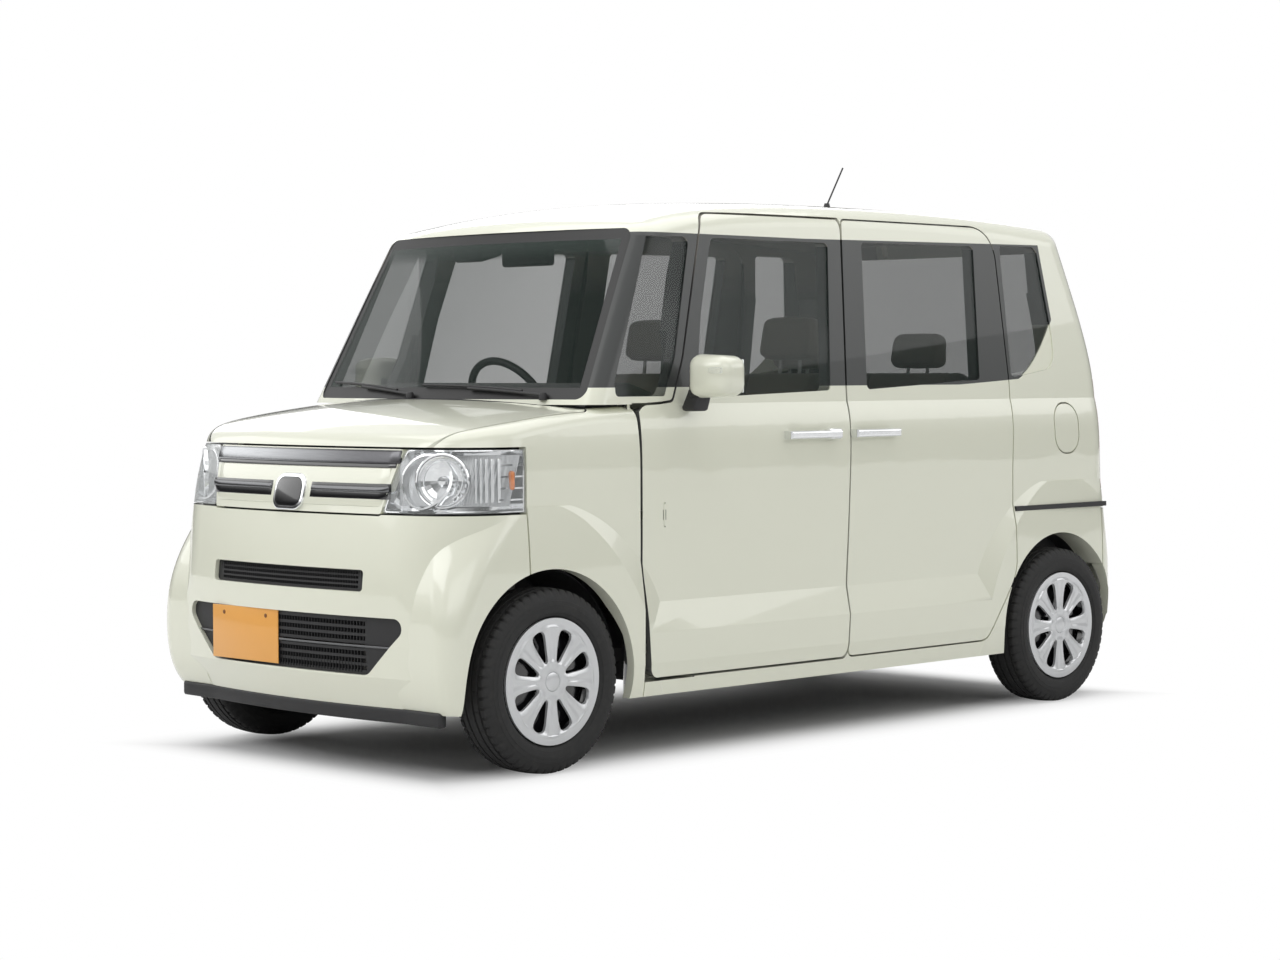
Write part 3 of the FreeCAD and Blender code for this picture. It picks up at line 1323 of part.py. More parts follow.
def build_rear_axle():
    """Twist beam with trailing arms, axle stubs, springs and front bushes."""
    beam_x = REAR_AXLE + 110
    pieces = [rod(Vector(beam_x, -500, 272), Vector(beam_x, 500, 272), 32)]
    for side in (1, -1):
        hub = Vector(REAR_AXLE, side * 528, AXLE_HEIGHT)
        bush = Vector(LOAD_STEP_X + 60, side * 500, 268)
        pieces.append(rod(bush, Vector(beam_x, side * 500, 272), 22))
        pieces.append(rod(Vector(beam_x, side * 500, 272), hub, 24))
        pieces.append(rod(bush - LEFT * 35, bush + LEFT * 35, 28))
        pieces.append(block(bush.x - 18, bush.x + 18, bush.y - 24, bush.y + 24, bush.z,
                            FLOOR - size.floor_thickness - SEAT))
        pieces.append(rod(hub, Vector(REAR_AXLE, side * (WHEEL_PLANE + MOUNT_FACE + 12), AXLE_HEIGHT),
                          size.hub_radius))
        pieces.append(rod(hub, Vector(REAR_AXLE, side * (WHEEL_PLANE - 12), AXLE_HEIGHT), 44))
        spring_foot = Vector(REAR_AXLE + 40, side * 410, 272)
        pieces.append(rod(spring_foot, spring_foot + UP * (size.load_floor_height - size.floor_thickness
                                                           - SEAT - 272), 46))
        pieces.append(block(REAR_AXLE + 0, beam_x, side * 370, side * 520, 255, 285))
    add_piece("rear_axle_beam", joined(pieces))


def build_tank_and_exhaust():
    top = FLOOR - size.floor_thickness - SEAT
    tank = document.addObject("Part::Box", "tank_shell")
    tank.Length = 760
    tank.Width = 800
    tank.Height = 118
    tank.Placement.Base = Vector(-280, -400, top - 118)
    rounded = document.addObject("Part::Fillet", "fuel_tank")
    rounded.Base = tank
    document.recompute()
    rounded.Edges = [(i + 1, 26, 26) for i, edge in enumerate(tank.Shape.Edges)
                     if edge.BoundBox.ZMax < top - 10]
    document.recompute()
    NODES.append(rounded)
    y, z = -452, 206
    silencer = Vector(TAIL + 165, y, 325)
    bends = [Vector(540, y, z), Vector(720, -388, z)]
    run = [rod(bends[0], Vector(silencer.x - 28, y, z), 20),
           rod(bends[0], bends[1], 20),
           rod(Vector(FIREWALL_X + 40, bends[1].y, z), bends[1], 20),
           Part.makeSphere(20, bends[0]),
           Part.makeSphere(20, bends[1]),
           rod(Vector(silencer.x, y, z), Vector(silencer.x, y, silencer.z), 16),
           rod(silencer - LEFT * 30, silencer + LEFT * 420, 62),
           block(silencer.x - 15, silencer.x + 15, y + 100, y + 130, silencer.z,
                 size.load_floor_height - size.floor_thickness - SEAT)]
    add_piece("exhaust", joined(run))


# Cabin

DASH_HALF = 560
STEER_CENTRE = Vector(FRONT_AXLE - 800, -size.seat_spacing / 2, 1074)
RAKE = math.radians(size.column_rake)
COLUMN = Vector(math.cos(RAKE), 0, -math.sin(RAKE))


def build_dashboard():
    back = FIREWALL_X - SEAT
    profile = [
        (back, 760, 0), (back, BELT - 45, 0), (back - 90, BELT + 48, 60), (back - 225, BELT + 66, 60),
        (back - 330, BELT + 34, 30), (back - 352, BELT - 60, 30), (back - 280, BELT - 150, 60),
        (back - 265, 800, 40), (back - 200, 760, 20),
    ]
    dash = side_prism(profile, -DASH_HALF, DASH_HALF)
    shroud = rod(STEER_CENTRE + COLUMN * 70, STEER_CENTRE + COLUMN * 330, 38)
    bore = rod(STEER_CENTRE + COLUMN * 60, STEER_CENTRE + COLUMN * 140, 12 + SEAT)
    add_piece("dashboard", joined([dash, shroud]).cut(bore))


def build_steering_wheel():
    grip = Part.makeTorus(size.steering_wheel_radius, size.steering_grip_radius, STEER_CENTRE, COLUMN)
    across = Vector(0, 1, 0)
    upward = COLUMN.cross(across)
    if upward.z < 0:
        upward = upward * -1
    hub = rod(STEER_CENTRE - COLUMN * 18, STEER_CENTRE + COLUMN * 34, 56)
    shaft = rod(STEER_CENTRE + COLUMN * 30, STEER_CENTRE + COLUMN * 130, 12)
    reach = size.steering_wheel_radius
    spokes = [rod(STEER_CENTRE, STEER_CENTRE + direction * reach, 11)
              for direction in (across, across * -1, (upward * -1))]
    add_piece("steering_wheel", joined([grip, hub, shaft] + spokes))


SEAT_PROFILE = [("330", "0"), ("340", "110"), ("300", "145"), ("-40", "105"), ("-190", "640"),
                ("-290", "640"), ("-190", "55"), ("-150", "0")]
PAD_FOOT = 545


def seat_pad(name, shift_x, y, width):
    """A cushion with its backrest, as one rounded body drawn in the side view."""
    pad_body = new_body(name)
    sketch = draw_outline(pad_body, "Profile", "XZ_Plane", SEAT_PROFILE)
    solid = pad(pad_body, "Width", sketch, width)
    half = float(sheet.evalExpression(width)) / 2
    fillet(pad_body, "Edges", solid, 26, lambda edge: edge.BoundBox.YLength < 1
           and abs(abs(edge.BoundBox.YMax) - half) < 1 and edge.BoundBox.ZMax > 20)
    pad_body.Placement.Base = Vector(shift_x, y, PAD_FOOT)
    return pad_body


def plain_box(name, x, y, z, length, width, height, radius):
    """A box centred in X and Y, its vertical and top edges rounded."""
    box = document.addObject("Part::Box", name + "_box")
    box.Length, box.Width, box.Height = length, width, height
    box.Placement.Base = Vector(x - length / 2, y - width / 2, z)
    document.recompute()
    smooth = document.addObject("Part::Fillet", name)
    smooth.Base = box
    smooth.Edges = [(i + 1, radius, radius) for i in range(12)]
    document.recompute()
    return smooth


def group(label, links):
    """Several solids as one sub-part."""
    whole = document.addObject("Part::Compound", label)
    whole.Label = label
    whole.Links = links
    document.recompute()
    NODES.append(whole)


def pedestal(name, x, y, length, width):
    box = document.addObject("Part::Box", name)
    box.Length, box.Width = length, width
    box.Height = PAD_FOOT - FLOOR - 2 * SEAT
    box.Placement.Base = Vector(x - length / 2, y - width / 2, FLOOR + SEAT)
    return box


def build_seats():
    front = []
    for side, sign in SIDES.items():
        y = sign * size.seat_spacing / 2
        front.append(seat_pad("front_pad_" + side, 0, y, "Sizes.seat_width"))
        front.append(plain_box("front_headrest_" + side, -262, y, PAD_FOOT + 690, 90, 250, 150, 34))
        front.append(pedestal("front_pedestal_" + side, 90, y, 380, 400))
        posts = document.addObject("Part::Box", "front_posts_" + side)
        posts.Length, posts.Width, posts.Height = 14, 120, 50 - 2 * SEAT
        posts.Placement.Base = Vector(-256, y - 60, PAD_FOOT + 640 + SEAT)
        front.append(posts)
    group("front_seats", front)
    rear = []
    for side, sign in SIDES.items():
        y = sign * 290
        rear.append(seat_pad("rear_pad_" + side, -740, y, "570"))
        rear.append(plain_box("rear_headrest_" + side, -1002, y, PAD_FOOT + 660, 80, 240, 130, 30))
        rear.append(pedestal("rear_pedestal_" + side, -650, y, 330, 480))
        posts = document.addObject("Part::Box", "rear_posts_" + side)
        posts.Length, posts.Width, posts.Height = 14, 120, 20 - 2 * SEAT
        posts.Placement.Base = Vector(-996, y - 60, PAD_FOOT + 640 + SEAT)
        rear.append(posts)
    group("rear_seats", rear)


# Fittings

def build_mirrors():
    """Door mirrors: a rounded housing on a short arm that stands on the door's shoulder."""
    housing = block(HINGE_X - 165, HINGE_X - 55, SKIN + 34, FLANK + 165, BELT + 14, BELT + 130)
    housing = housing.makeFillet(30, housing.Edges)
    arm = block(HINGE_X - 150, HINGE_X - 80, SKIN - 60, SKIN + 80, BELT - 22, BELT + 22)
    arm = arm.cut(BODY_SKIN)
    mirror = largest(joined([housing, largest(arm)]))
    add_piece("door_mirror_left", mirror)
    add_piece("door_mirror_right", mirrored(mirror))


HANDLE_Z = 992
HANDLE_HEIGHT = 27


def door_handle(front, rear):
    """A bow handle: a bar on two feet that stand on the skin."""
    bar = block(front, rear, SKIN - 30, SKIN + 30, HANDLE_Z - HANDLE_HEIGHT / 2, HANDLE_Z + HANDLE_HEIGHT / 2)
    edges = [edge for edge in bar.Edges if edge.BoundBox.YMin > SKIN + 29]
    bar = bar.makeFillet(8, edges)
    grip = block(front - 24, rear + 24, SKIN - 40, SKIN + 18, HANDLE_Z - 30, HANDLE_Z + 30)
    return bar.cut(grip).cut(BODY_SKIN)


def build_handles():
    hinged = largest(door_handle(DOOR_REAR + 300, DOOR_REAR + 45))
    add_piece("front_handle_left", hinged)
    add_piece("front_handle_right", mirrored(hinged))
    add_piece("sliding_handles", both(largest(door_handle(SLIDE_FRONT - 20, SLIDE_FRONT - 248))))


def build_nose_fittings():
    def bar(points, out, depth):
        return front_hull(-out).common(front_prism(points, NOSE - 200, NOSE + 40)).cut(front_hull(depth))
    trim = [largest(bar([(-444, LAMP_TOP - 4, 4), (444, LAMP_TOP - 4, 4), (438, LAMP_TOP - 34, 4),
                         (-438, LAMP_TOP - 34, 4)], 5, 0))]
    for sign in (1, -1):
        for low in (LAMP_FOOT + 44, LAMP_FOOT + 98):
            points = [(sign * 66, low, 3), (sign * 420, low, 3), (sign * 426, low + 22, 3),
                      (sign * 66, low + 22, 3)]
            trim.append(largest(bar(points, 4, 0)))
    trim.append(largest(bar([(-52, LAMP_FOOT + 12, 16), (52, LAMP_FOOT + 12, 16), (60, LAMP_FOOT + 118, 24),
                             (-60, LAMP_FOOT + 118, 24)], 9, 0)))
    add_piece("grille_trim", Part.makeCompound(trim))
    meshes = []
    layer_out, layer_in = front_hull(14), front_hull(24)
    for outline, rows, foot, pitch in ((UPPER_INTAKE, 4, 560, 14), (LOWER_INTAKE, 7, 318, 22)):
        region = front_prism(grown(outline, -SEAT), NOSE - 200, NOSE + 40)
        mesh = largest(layer_out.common(region).cut(layer_in))
        reach = 330 if outline is UPPER_INTAKE else 360
        slots = [block(NOSE - 120, NOSE + 10, -reach, reach, foot + i * pitch, foot + i * pitch + pitch * 0.6)
                 for i in range(rows)]
        meshes.append(mesh.cut(slots))
    add_piece("intake_grilles", Part.makeCompound([largest(mesh) for mesh in meshes]))
    plate = document.addObject("Part::Box", "number_plate")
    plate.Length, plate.Width, plate.Height = 3, 330, 165
    plate.Placement.Base = Vector(NOSE - 12, -188 - 165, 313)
    document.recompute()
    NODES.append(plate)


def build_small_fittings():
    add_piece("slide_rails", both(rail_cover(0, 4)))
    foot = Vector(TAIL + 871, 0, ROOF - 30)
    base = Part.makeCone(24, 9, 62, foot).cut(BODY_SKIN)
    mast_foot = foot + UP * 55
    mast_tip = Vector(TAIL + 782, 0, 1945)
    mast = rod(mast_foot, mast_tip, 3)
    add_piece("antenna", joined([largest(base), mast]))
    hanger = rod(Vector(FRONT_AXLE - 570, 0, 1560), Vector(FRONT_AXLE - 600, 0, ROOF - 40), 8)
    hanger = hanger.cut(BODY_SKIN.cut(DOOR_LINING))
    glass_case = block(FRONT_AXLE - 585, FRONT_AXLE - 555, -120, 120, 1498, 1566)
    glass_case = glass_case.makeFillet(9, glass_case.Edges)
    add_piece("inner_mirror", joined([glass_case, largest(hanger)]))


for end, side in CORNERS:
    build_tyre(end, side)
    build_wheel(end, side)
build_knuckles()
build_front_structure()
build_subframe()
build_engine()
build_floor()
build_wheelhouses()
build_rear_axle()
build_tank_and_exhaust()
build_dashboard()
build_steering_wheel()
build_seats()
build_mirrors()
build_handles()
build_nose_fittings()
build_small_fittings()


def check_pieces():
    """Stop if any object failed or any sub-part has no sound shape."""
    for item in document.Objects:
        bad = [state for state in item.State if state in ("Invalid", "Error")]
        if bad:
            raise RuntimeError("%s is %s" % (item.Label, bad))
    for piece in NODES:
        if piece.Shape.isNull() or not piece.Shape.isValid():
            raise RuntimeError("%s has no sound shape" % piece.Label)


def write_pieces():
    os.makedirs("parts", exist_ok=True)
    for piece in NODES:
        piece.Shape.exportStep(os.path.join("parts", piece.Label + ".step"))
        print("%-24s %2d solids %9.3f litres" % (
            piece.Label, len(piece.Shape.Solids), piece.Shape.Volume / 1e6))


document.recompute()
check_pieces()
write_pieces()
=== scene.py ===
"""Paint, glass, lamps, wheels and a furnished cabin for a small tall wagon, in a plain studio."""
import math
from functools import partial

import bmesh
import bpy
from bpy.props import FloatProperty, FloatVectorProperty, IntProperty, PointerProperty
from mathutils import Matrix, Vector
from mathutils.bvhtree import BVHTree


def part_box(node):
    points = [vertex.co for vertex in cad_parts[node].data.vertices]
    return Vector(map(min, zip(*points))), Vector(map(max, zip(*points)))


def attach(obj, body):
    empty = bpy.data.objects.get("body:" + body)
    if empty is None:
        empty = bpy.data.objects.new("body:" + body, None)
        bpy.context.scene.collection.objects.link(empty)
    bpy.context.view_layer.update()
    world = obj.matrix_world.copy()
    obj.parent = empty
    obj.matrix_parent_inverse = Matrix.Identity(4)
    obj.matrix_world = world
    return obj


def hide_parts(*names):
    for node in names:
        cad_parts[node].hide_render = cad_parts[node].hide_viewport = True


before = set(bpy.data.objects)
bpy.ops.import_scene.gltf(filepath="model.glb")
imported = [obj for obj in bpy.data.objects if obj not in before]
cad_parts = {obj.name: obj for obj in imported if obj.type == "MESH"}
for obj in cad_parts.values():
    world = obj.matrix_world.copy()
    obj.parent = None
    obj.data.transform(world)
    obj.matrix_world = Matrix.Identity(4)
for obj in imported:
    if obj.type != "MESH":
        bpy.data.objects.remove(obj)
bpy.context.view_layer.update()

bl_info = {
    "name": "Small tall wagon",
    "version": (1, 0, 0),
    "blender": (4, 5, 0),
    "location": "3D View > Sidebar > Wagon",
    "description": "Dresses the packed solids of a small tall wagon and sets its studio",
    "category": "Add Mesh",
}

SIDES = {"left": 1, "right": -1}
CORNERS = [(end, side) for end in ("front", "rear") for side in SIDES]


def colour(name, words, default):
    return FloatVectorProperty(name=name, description=words, subtype="COLOR", size=3, min=0, max=1,
                               default=default)


def power(name, words, default):
    return FloatProperty(name=name, description=words, default=default, min=0, max=2000, unit="POWER")


class WagonLook(bpy.types.PropertyGroup):
    """Colours and sizes that a user would change."""
    paint: colour("Paint", "Body paint", (0.775, 0.787, 0.655))
    cloth: colour("Seat cloth", "Main cloth of the seats", (0.34, 0.31, 0.26))
    trim: colour("Cabin trim", "Moulded plastic of the cabin", (0.055, 0.055, 0.055))
    plate: colour("Plate", "Front registration plate", (0.84, 0.40, 0.085))
    cover: colour("Wheel covers", "Silver of the wheel covers", (0.60, 0.61, 0.62))
    spokes: IntProperty(name="Spokes", description="Spokes of each wheel cover", default=8, min=5, max=12)
    pitches: IntProperty(name="Tread pitches", description="Tread blocks round each tyre", default=56,
                         min=30, max=80)
    tread_depth: FloatProperty(name="Tread depth", description="Depth of the tyre grooves", default=0.006,
                               min=0.001, max=0.009, unit="LENGTH")


class WagonLight(bpy.types.PropertyGroup):
    """The studio."""
    sky: FloatProperty(name="Sky", description="Strength of the world's even light", default=0.30,
                       min=0, max=2)
    top: power("Top lamp", "Power of the lamp overhead", 170)
    front: power("Front lamp", "Power of the lamp ahead of the car", 140)
    side: power("Side lamp", "Power of the four lamps round the car", 170)


# Shader expressions

class Signal:
    """A shader socket that takes part in arithmetic."""

    def __init__(self, finish, socket):
        self.finish = finish
        self.socket = socket

    def maths(self, operation, *values):
        return self.finish.node("ShaderNodeMath", {"operation": operation}, *values)

    def __add__(self, other):
        return self.maths("ADD", self, other)

    __radd__ = __add__

    def __sub__(self, other):
        return self.maths("SUBTRACT", self, other)

    def __rsub__(self, other):
        return self.maths("SUBTRACT", other, self)

    def __mul__(self, other):
        return self.maths("MULTIPLY", self, other)

    __rmul__ = __mul__

    def __neg__(self):
        return self.maths("MULTIPLY", self, -1.0)

    def __abs__(self):
        return self.maths("ABSOLUTE", self)

    def __gt__(self, other):
        return self.maths("GREATER_THAN", self, other)

    def __lt__(self, other):
        return self.maths("LESS_THAN", self, other)

    def least(self, other):
        return self.maths("MINIMUM", self, other)

    def most(self, other):
        return self.maths("MAXIMUM", self, other)

    def sine(self):
        return self.maths("SINE", self)

    def between(self, low, high):
        """0 below low, 1 above high, smooth between."""
        return self.finish.node("ShaderNodeMapRange", {"interpolation_type": "SMOOTHSTEP"},
                                self, low, high, 0.0, 1.0)

    def part(self, name):
        return Signal(self.finish, self.socket.node.outputs[name])


class Finish:
    """A procedural material built round one shader."""

    def __init__(self, name, base, roughness=0.5, metallic=0.0, **sockets):
        self.material = bpy.data.materials.new(name)
        self.material.use_nodes = True
        self.tree = self.material.node_tree
        self.shader = self.tree.nodes["Principled BSDF"]
        self.set("Base Color", base)
        self.set("Roughness", roughness)
        self.set("Metallic", metallic)
        for key, value in sockets.items():
            self.set(key.replace("_", " "), value)

    def feed(self, socket, value):
        if isinstance(value, Signal):
            self.tree.links.new(value.socket, socket)
        elif socket.type == "RGBA" and len(value) == 3:
            socket.default_value = (*value, 1.0)
        else:
            socket.default_value = value

    def set(self, name, value):
        self.feed(self.shader.inputs[name], value)

    def node(self, kind, settings=None, *values, **named):
        made = self.tree.nodes.new(kind)
        for key, value in (settings or {}).items():
            setattr(made, key, value)
        for socket, value in zip(made.inputs, values):
            self.feed(socket, value)
        for key, value in named.items():
            self.feed(made.inputs[key.replace("_", " ")], value)
        return Signal(self, made.outputs[0])

    def spot(self, kind="Object"):
        return self.node("ShaderNodeTexCoord").part(kind)

    def place(self, kind="Object"):
        """The piece's own X, Y and Z, in metres."""
        split = self.node("ShaderNodeSeparateXYZ", None, self.spot(kind))
        return split, split.part("Y"), split.part("Z")

    def facing(self):
        """The surface's own direction as X, Y and Z."""
        return self.place("Normal")

    def noise(self, scale, detail=2.0, vector=None):
        return self.node("ShaderNodeTexNoise", None, Vector=vector or self.spot(), Scale=scale, Detail=detail)

    def mix(self, factor, first, second):
        blend = self.node("ShaderNodeMix", {"data_type": "RGBA"})
        node = blend.socket.node
        self.feed(node.inputs[0], factor)
        self.feed(node.inputs[6], first)
        self.feed(node.inputs[7], second)
        return Signal(self, node.outputs[2])

    def blend(self, factor, first, second):
        """One number or another by a factor."""
        return first + factor * (second - first)

    def bump(self, height, strength=0.3, distance=0.001):
        self.set("Normal", self.node("ShaderNodeBump", None, strength, distance, Height=height))

    def stretched(self, x, y, z):
        return self.node("ShaderNodeMapping", None, Vector=self.spot(), Scale=(x, y, z))


def shade(tint, factor):
    return tuple(channel * factor for channel in tint)


FINISHES = {}


def finish(name):
    """The material of that name, made once."""
    if name not in FINISHES:
        FINISHES[name] = MAKERS[name](name).material
    return FINISHES[name]


def look():
    return bpy.context.scene.wagon_look


# Heights of the black window band, in metres
BELT_START = 1.103
BELT_RISE = 0.0313
BELT_BEND = 0.013
BAND_TOP = 1.634
BAND_TOP_RISE = 0.0135
BAND_REAR = -1.333
BAND_REAR_LEAN = 0.152
BAND_REAR_BEND = 1.328
BAND_BLACK = (0.030, 0.033, 0.032)
QUARTER_FOOT = 1.150
QUARTER_START = -1.00
QUARTER_SWEEP = 2.2
# Half the windscreen's width at its foot, how much it narrows upward, and the printed border's edges
SCREEN_HALF = 0.640
SCREEN_TAPER = 0.1163
SCREEN_FOOT = 1.114
BORDER = 0.030
BORDER_LOW = 1.150
BORDER_HIGH = 1.612
SHADE_START = 1.53
GLASS_TINT = (0.012, 0.026, 0.020)
DARK_TINT = (0.010, 0.020, 0.016)
DARK_DENSITY = 0.30


def quarter_foot(x):
    """Height of the rear quarter window's foot, which sweeps up behind the sliding door."""
    back = (QUARTER_START - x).most(0.0)
    return QUARTER_FOOT + QUARTER_SWEEP * back * back


def window_band(made):
    """1 where the window frames are black."""
    x, _, z = made.place()
    rear = (-0.1 - x).most(0.0)
    foot = (BELT_START + BELT_RISE * (0.585 - x) + BELT_BEND * rear * rear).most(quarter_foot(x))
    top = BAND_TOP + BAND_TOP_RISE * (-x).most(0.0)
    last = BAND_REAR + BAND_REAR_LEAN * (z - BAND_REAR_BEND).most(0.0)
    return (z > foot) * (z < top) * (x > last)


def painted(name, framed):
    """Pearl white paint under clear coat; around windows, with black frames and a trimmed inner side."""
    paint = tuple(look().paint)
    made = Finish(name, paint, 0.32, 0.0, Coat_Weight=1.0, Coat_Roughness=0.02, Specular_IOR_Level=0.5)
    flakes = made.noise(900.0, 1.0)
    broad = made.noise(1.6, 2.0)
    base = made.mix(broad * 0.5, paint, shade(paint, 0.97))
    base = made.mix(flakes.between(0.62, 0.75) * 0.25, base, (0.9, 0.88, 0.82))
    rough = 0.30 + 0.04 * flakes
    if framed:
        black = window_band(made)
        base = made.mix(black, base, BAND_BLACK)
        rough = made.blend(black, rough, 0.38)
        made.set("Coat Weight", 1.0 - 0.75 * black)
        _, y, z = made.place()
        _, fy, fz = made.facing()
        inward = (y * fy < -0.02).most((z > 1.3) * (fz < -0.35))
        lining = made.mix(z.between(1.45, 1.6), shade(tuple(look().trim), 1.6), (0.42, 0.40, 0.36))
        base = made.mix(inward, base, lining)
        rough = made.blend(inward, rough, 0.75)
    made.set("Base Color", base)
    made.set("Roughness", rough)
    made.bump(made.noise(260.0, 1.0), 0.02, 0.0004)
    return made


def glazed(name, tint, density, bordered=False):
    """Tinted glass, denser at glancing angles, with a black printed border where asked."""
    made = Finish(name, tint, 0.02, 0.0, Specular_IOR_Level=0.5)
    away = made.node("ShaderNodeLayerWeight", None, 0.5).part("Facing")
    rim = away * away
    density = density + 0.04 * made.noise(0.8, 1.0)
    if bordered:
        _, y, z = made.place()
        side = SCREEN_HALF - SCREEN_TAPER * (z - SCREEN_FOOT)
        border = (abs(y) > side - BORDER).most(z < BORDER_LOW).most(z > BORDER_HIGH)
        shade_band = z.between(SHADE_START, BORDER_HIGH)
        made.set("Base Color", made.mix(border, tint, (0.003, 0.003, 0.003)))
        made.set("Roughness", 0.02 + 0.4 * border)
        density = density.most(border).most(shade_band * 0.8)
    made.set("Alpha", (density + (1.0 - density) * rim * 0.85).least(1.0))
    return made


def quarter_pane(name):
    """Dark glass whose lower rear corner is painted over."""
    made = glazed(name, DARK_TINT, DARK_DENSITY)
    x, _, z = made.place()
    covered = (z < quarter_foot(x)) * (x < -0.5)
    tint = made.mix(covered, DARK_TINT, tuple(look().paint))
    clear = Signal(made, made.shader.inputs["Alpha"].links[0].from_socket)
    made.set("Base Color", tint)
    made.set("Alpha", clear.most(covered))
    made.set("Roughness", 0.02 + 0.3 * covered)
    return made


def lens_clear(name):
    made = Finish(name, (0.75, 0.78, 0.78), 0.03, 0.0, Coat_Weight=1.0, Coat_Roughness=0.0)
    away = made.node("ShaderNodeLayerWeight", None, 0.5).part("Facing")
    made.set("Alpha", (0.08 + 0.7 * away * away + 0.03 * made.noise(30.0, 1.0)).least(1.0))
    return made


def lamp_red(name):
    """Tail lamp: red above, clear and red bars below, fine ribs under the surface."""
    made = Finish(name, (0.5, 0.01, 0.012), 0.12, 0.0, Coat_Weight=1.0, Coat_Roughness=0.02)
    z = made.place()[2]
    ribs = (z * 900.0).sine()
    clear = (z > 0.80) * (z < 0.90)
    base = made.mix(clear, (0.42, 0.008, 0.01), (0.62, 0.62, 0.62))
    made.set("Base Color", made.mix(ribs.between(-0.2, 0.9) * 0.3, base, (0.12, 0.004, 0.005)))
    made.bump(ribs, 0.25, 0.0008)
    return made


def polished(tint, roughness, metallic, least, swing, scale, detail=2.0, **sockets):
    """A maker of an evenly coloured material whose roughness wavers."""
    def make(name):
        made = Finish(name, tint, roughness, metallic, **sockets)
        made.set("Roughness", least + swing * made.noise(scale, detail))
        return made
    return make


def satin_chrome(name):
    """Bright trim with painted shade that darkens its colour toward the car's left side, with long fine
    streaks.
    """
    made = Finish(name, (0.3, 0.3, 0.3), 0.22, 1.0)
    streak = made.noise(1.0, 2.0, made.stretched(300.0, 6.0, 300.0))
    y = made.place()[1]
    # Painted shade: the colour runs from bright on the car's right to dark on its left.
    across = (y + 0.1 * streak).between(0.40, -0.40)
    made.set("Base Color", made.mix(across, (0.10, 0.10, 0.105), (0.40, 0.41, 0.42)))
    made.set("Roughness", 0.16 + 0.12 * streak)
    return made


def lamp_shell(name):
    """Silvered plastic behind the headlamp's lens, with fine upright flutes."""
    made = Finish(name, (0.42, 0.43, 0.44), 0.3, 0.8)
    y = made.place()[1]
    made.set("Roughness", 0.24 + 0.12 * made.noise(50.0, 2.0))
    made.bump((y * 1200.0).sine(), 0.35, 0.0010)
    return made


def wheel_silver(name):
    base = tuple(look().cover)
    made = Finish(name, base, 0.34, 0.55, Coat_Weight=0.6, Coat_Roughness=0.08)
    flakes = made.noise(1400.0, 1.0)
    broad = made.noise(9.0, 2.0)
    made.set("Base Color", made.mix(flakes * 0.35, base, shade(base, 1.3)))
    made.set("Roughness", 0.28 + 0.1 * broad)
    made.bump(flakes, 0.03, 0.0003)
    return made


def black_moulding(name):
    made = Finish(name, (0.012, 0.012, 0.013), 0.5)
    grain = made.node("ShaderNodeTexVoronoi", None, Vector=made.spot(), Scale=700.0)
    made.set("Roughness", 0.42 + 0.2 * made.noise(14.0, 3.0))
    made.bump(grain, 0.18, 0.0004)
    return made


def cabin_plastic(name):
    trim = tuple(look().trim)
    made = Finish(name, trim, 0.6)
    grain = made.node("ShaderNodeTexVoronoi", None, Vector=made.spot(), Scale=520.0)
    made.set("Base Color", made.mix(made.noise(7.0, 3.0) * 0.5, trim, shade(trim, 1.5)))
    made.set("Roughness", 0.52 + 0.16 * grain)
    made.bump(grain, 0.25, 0.0006)
    return made


def woven_cloth(name):
    """Seat cloth: a plain weave with soft sheen and slight fading."""
    cloth = tuple(look().cloth)
    made = Finish(name, cloth, 0.92, 0.0, Sheen_Weight=0.35, Sheen_Roughness=0.5)
    x, y, z = made.place()
    warp = (y * 2600.0).sine()
    weft = ((z + x * 0.6) * 2600.0).sine()
    weave = warp * weft
    fleck = made.noise(420.0, 2.0)
    base = made.mix(weave.between(-0.6, 0.8) * 0.6, cloth, shade(cloth, 0.62))
    made.set("Base Color", made.mix(fleck.between(0.55, 0.7) * 0.4, base, shade(cloth, 1.35)))
    made.bump(weave * 0.6 + fleck * 0.5, 0.45, 0.0008)
    return made


def bolster_cloth(name):
    """Darker knitted cloth of the seats' sides."""
    cloth = shade(tuple(look().cloth), 0.42)
    made = Finish(name, cloth, 0.95, 0.0, Sheen_Weight=0.3, Sheen_Roughness=0.6)
    cells = made.node("ShaderNodeTexVoronoi", None, Vector=made.spot(), Scale=620.0)
    made.set("Base Color", made.mix(cells.between(0.1, 0.6) * 0.6, cloth, shade(cloth, 1.9)))
    made.bump(cells, 0.5, 0.0009)
    return made


def grained(first, dark, pale, scale, roughness, metallic, strength, distance):
    """A maker of a material whose grain runs from one colour to another."""
    def make(name):
        made = Finish(name, first, roughness, metallic)
        grain = made.noise(scale, 3.0)
        made.set("Base Color", made.mix(grain, dark, pale))
        made.bump(grain, strength, distance)
        return made
    return make


def tyre_rubber(name):
    """Dusty tyre rubber with a fine grain."""
    made = Finish(name, (0.012, 0.012, 0.012), 0.75)
    dust = made.noise(38.0, 4.0)
    dusty = dust.between(0.45, 0.8) * 0.5
    made.set("Base Color", made.mix(dusty, (0.010, 0.010, 0.010), (0.034, 0.033, 0.031)))
    made.set("Roughness", 0.62 + 0.25 * dust)
    made.bump(made.noise(500.0, 2.0), 0.12, 0.0005)
    return made


def bare_steel(name):
    made = Finish(name, (0.42, 0.42, 0.41), 0.35, 1.0)
    rust = made.noise(30.0, 4.0)
    made.set("Base Color", made.mix(rust.between(0.6, 0.8) * 0.5, (0.42, 0.42, 0.41), (0.2, 0.12, 0.07)))
    made.set("Roughness", 0.3 + 0.3 * rust)
    return made


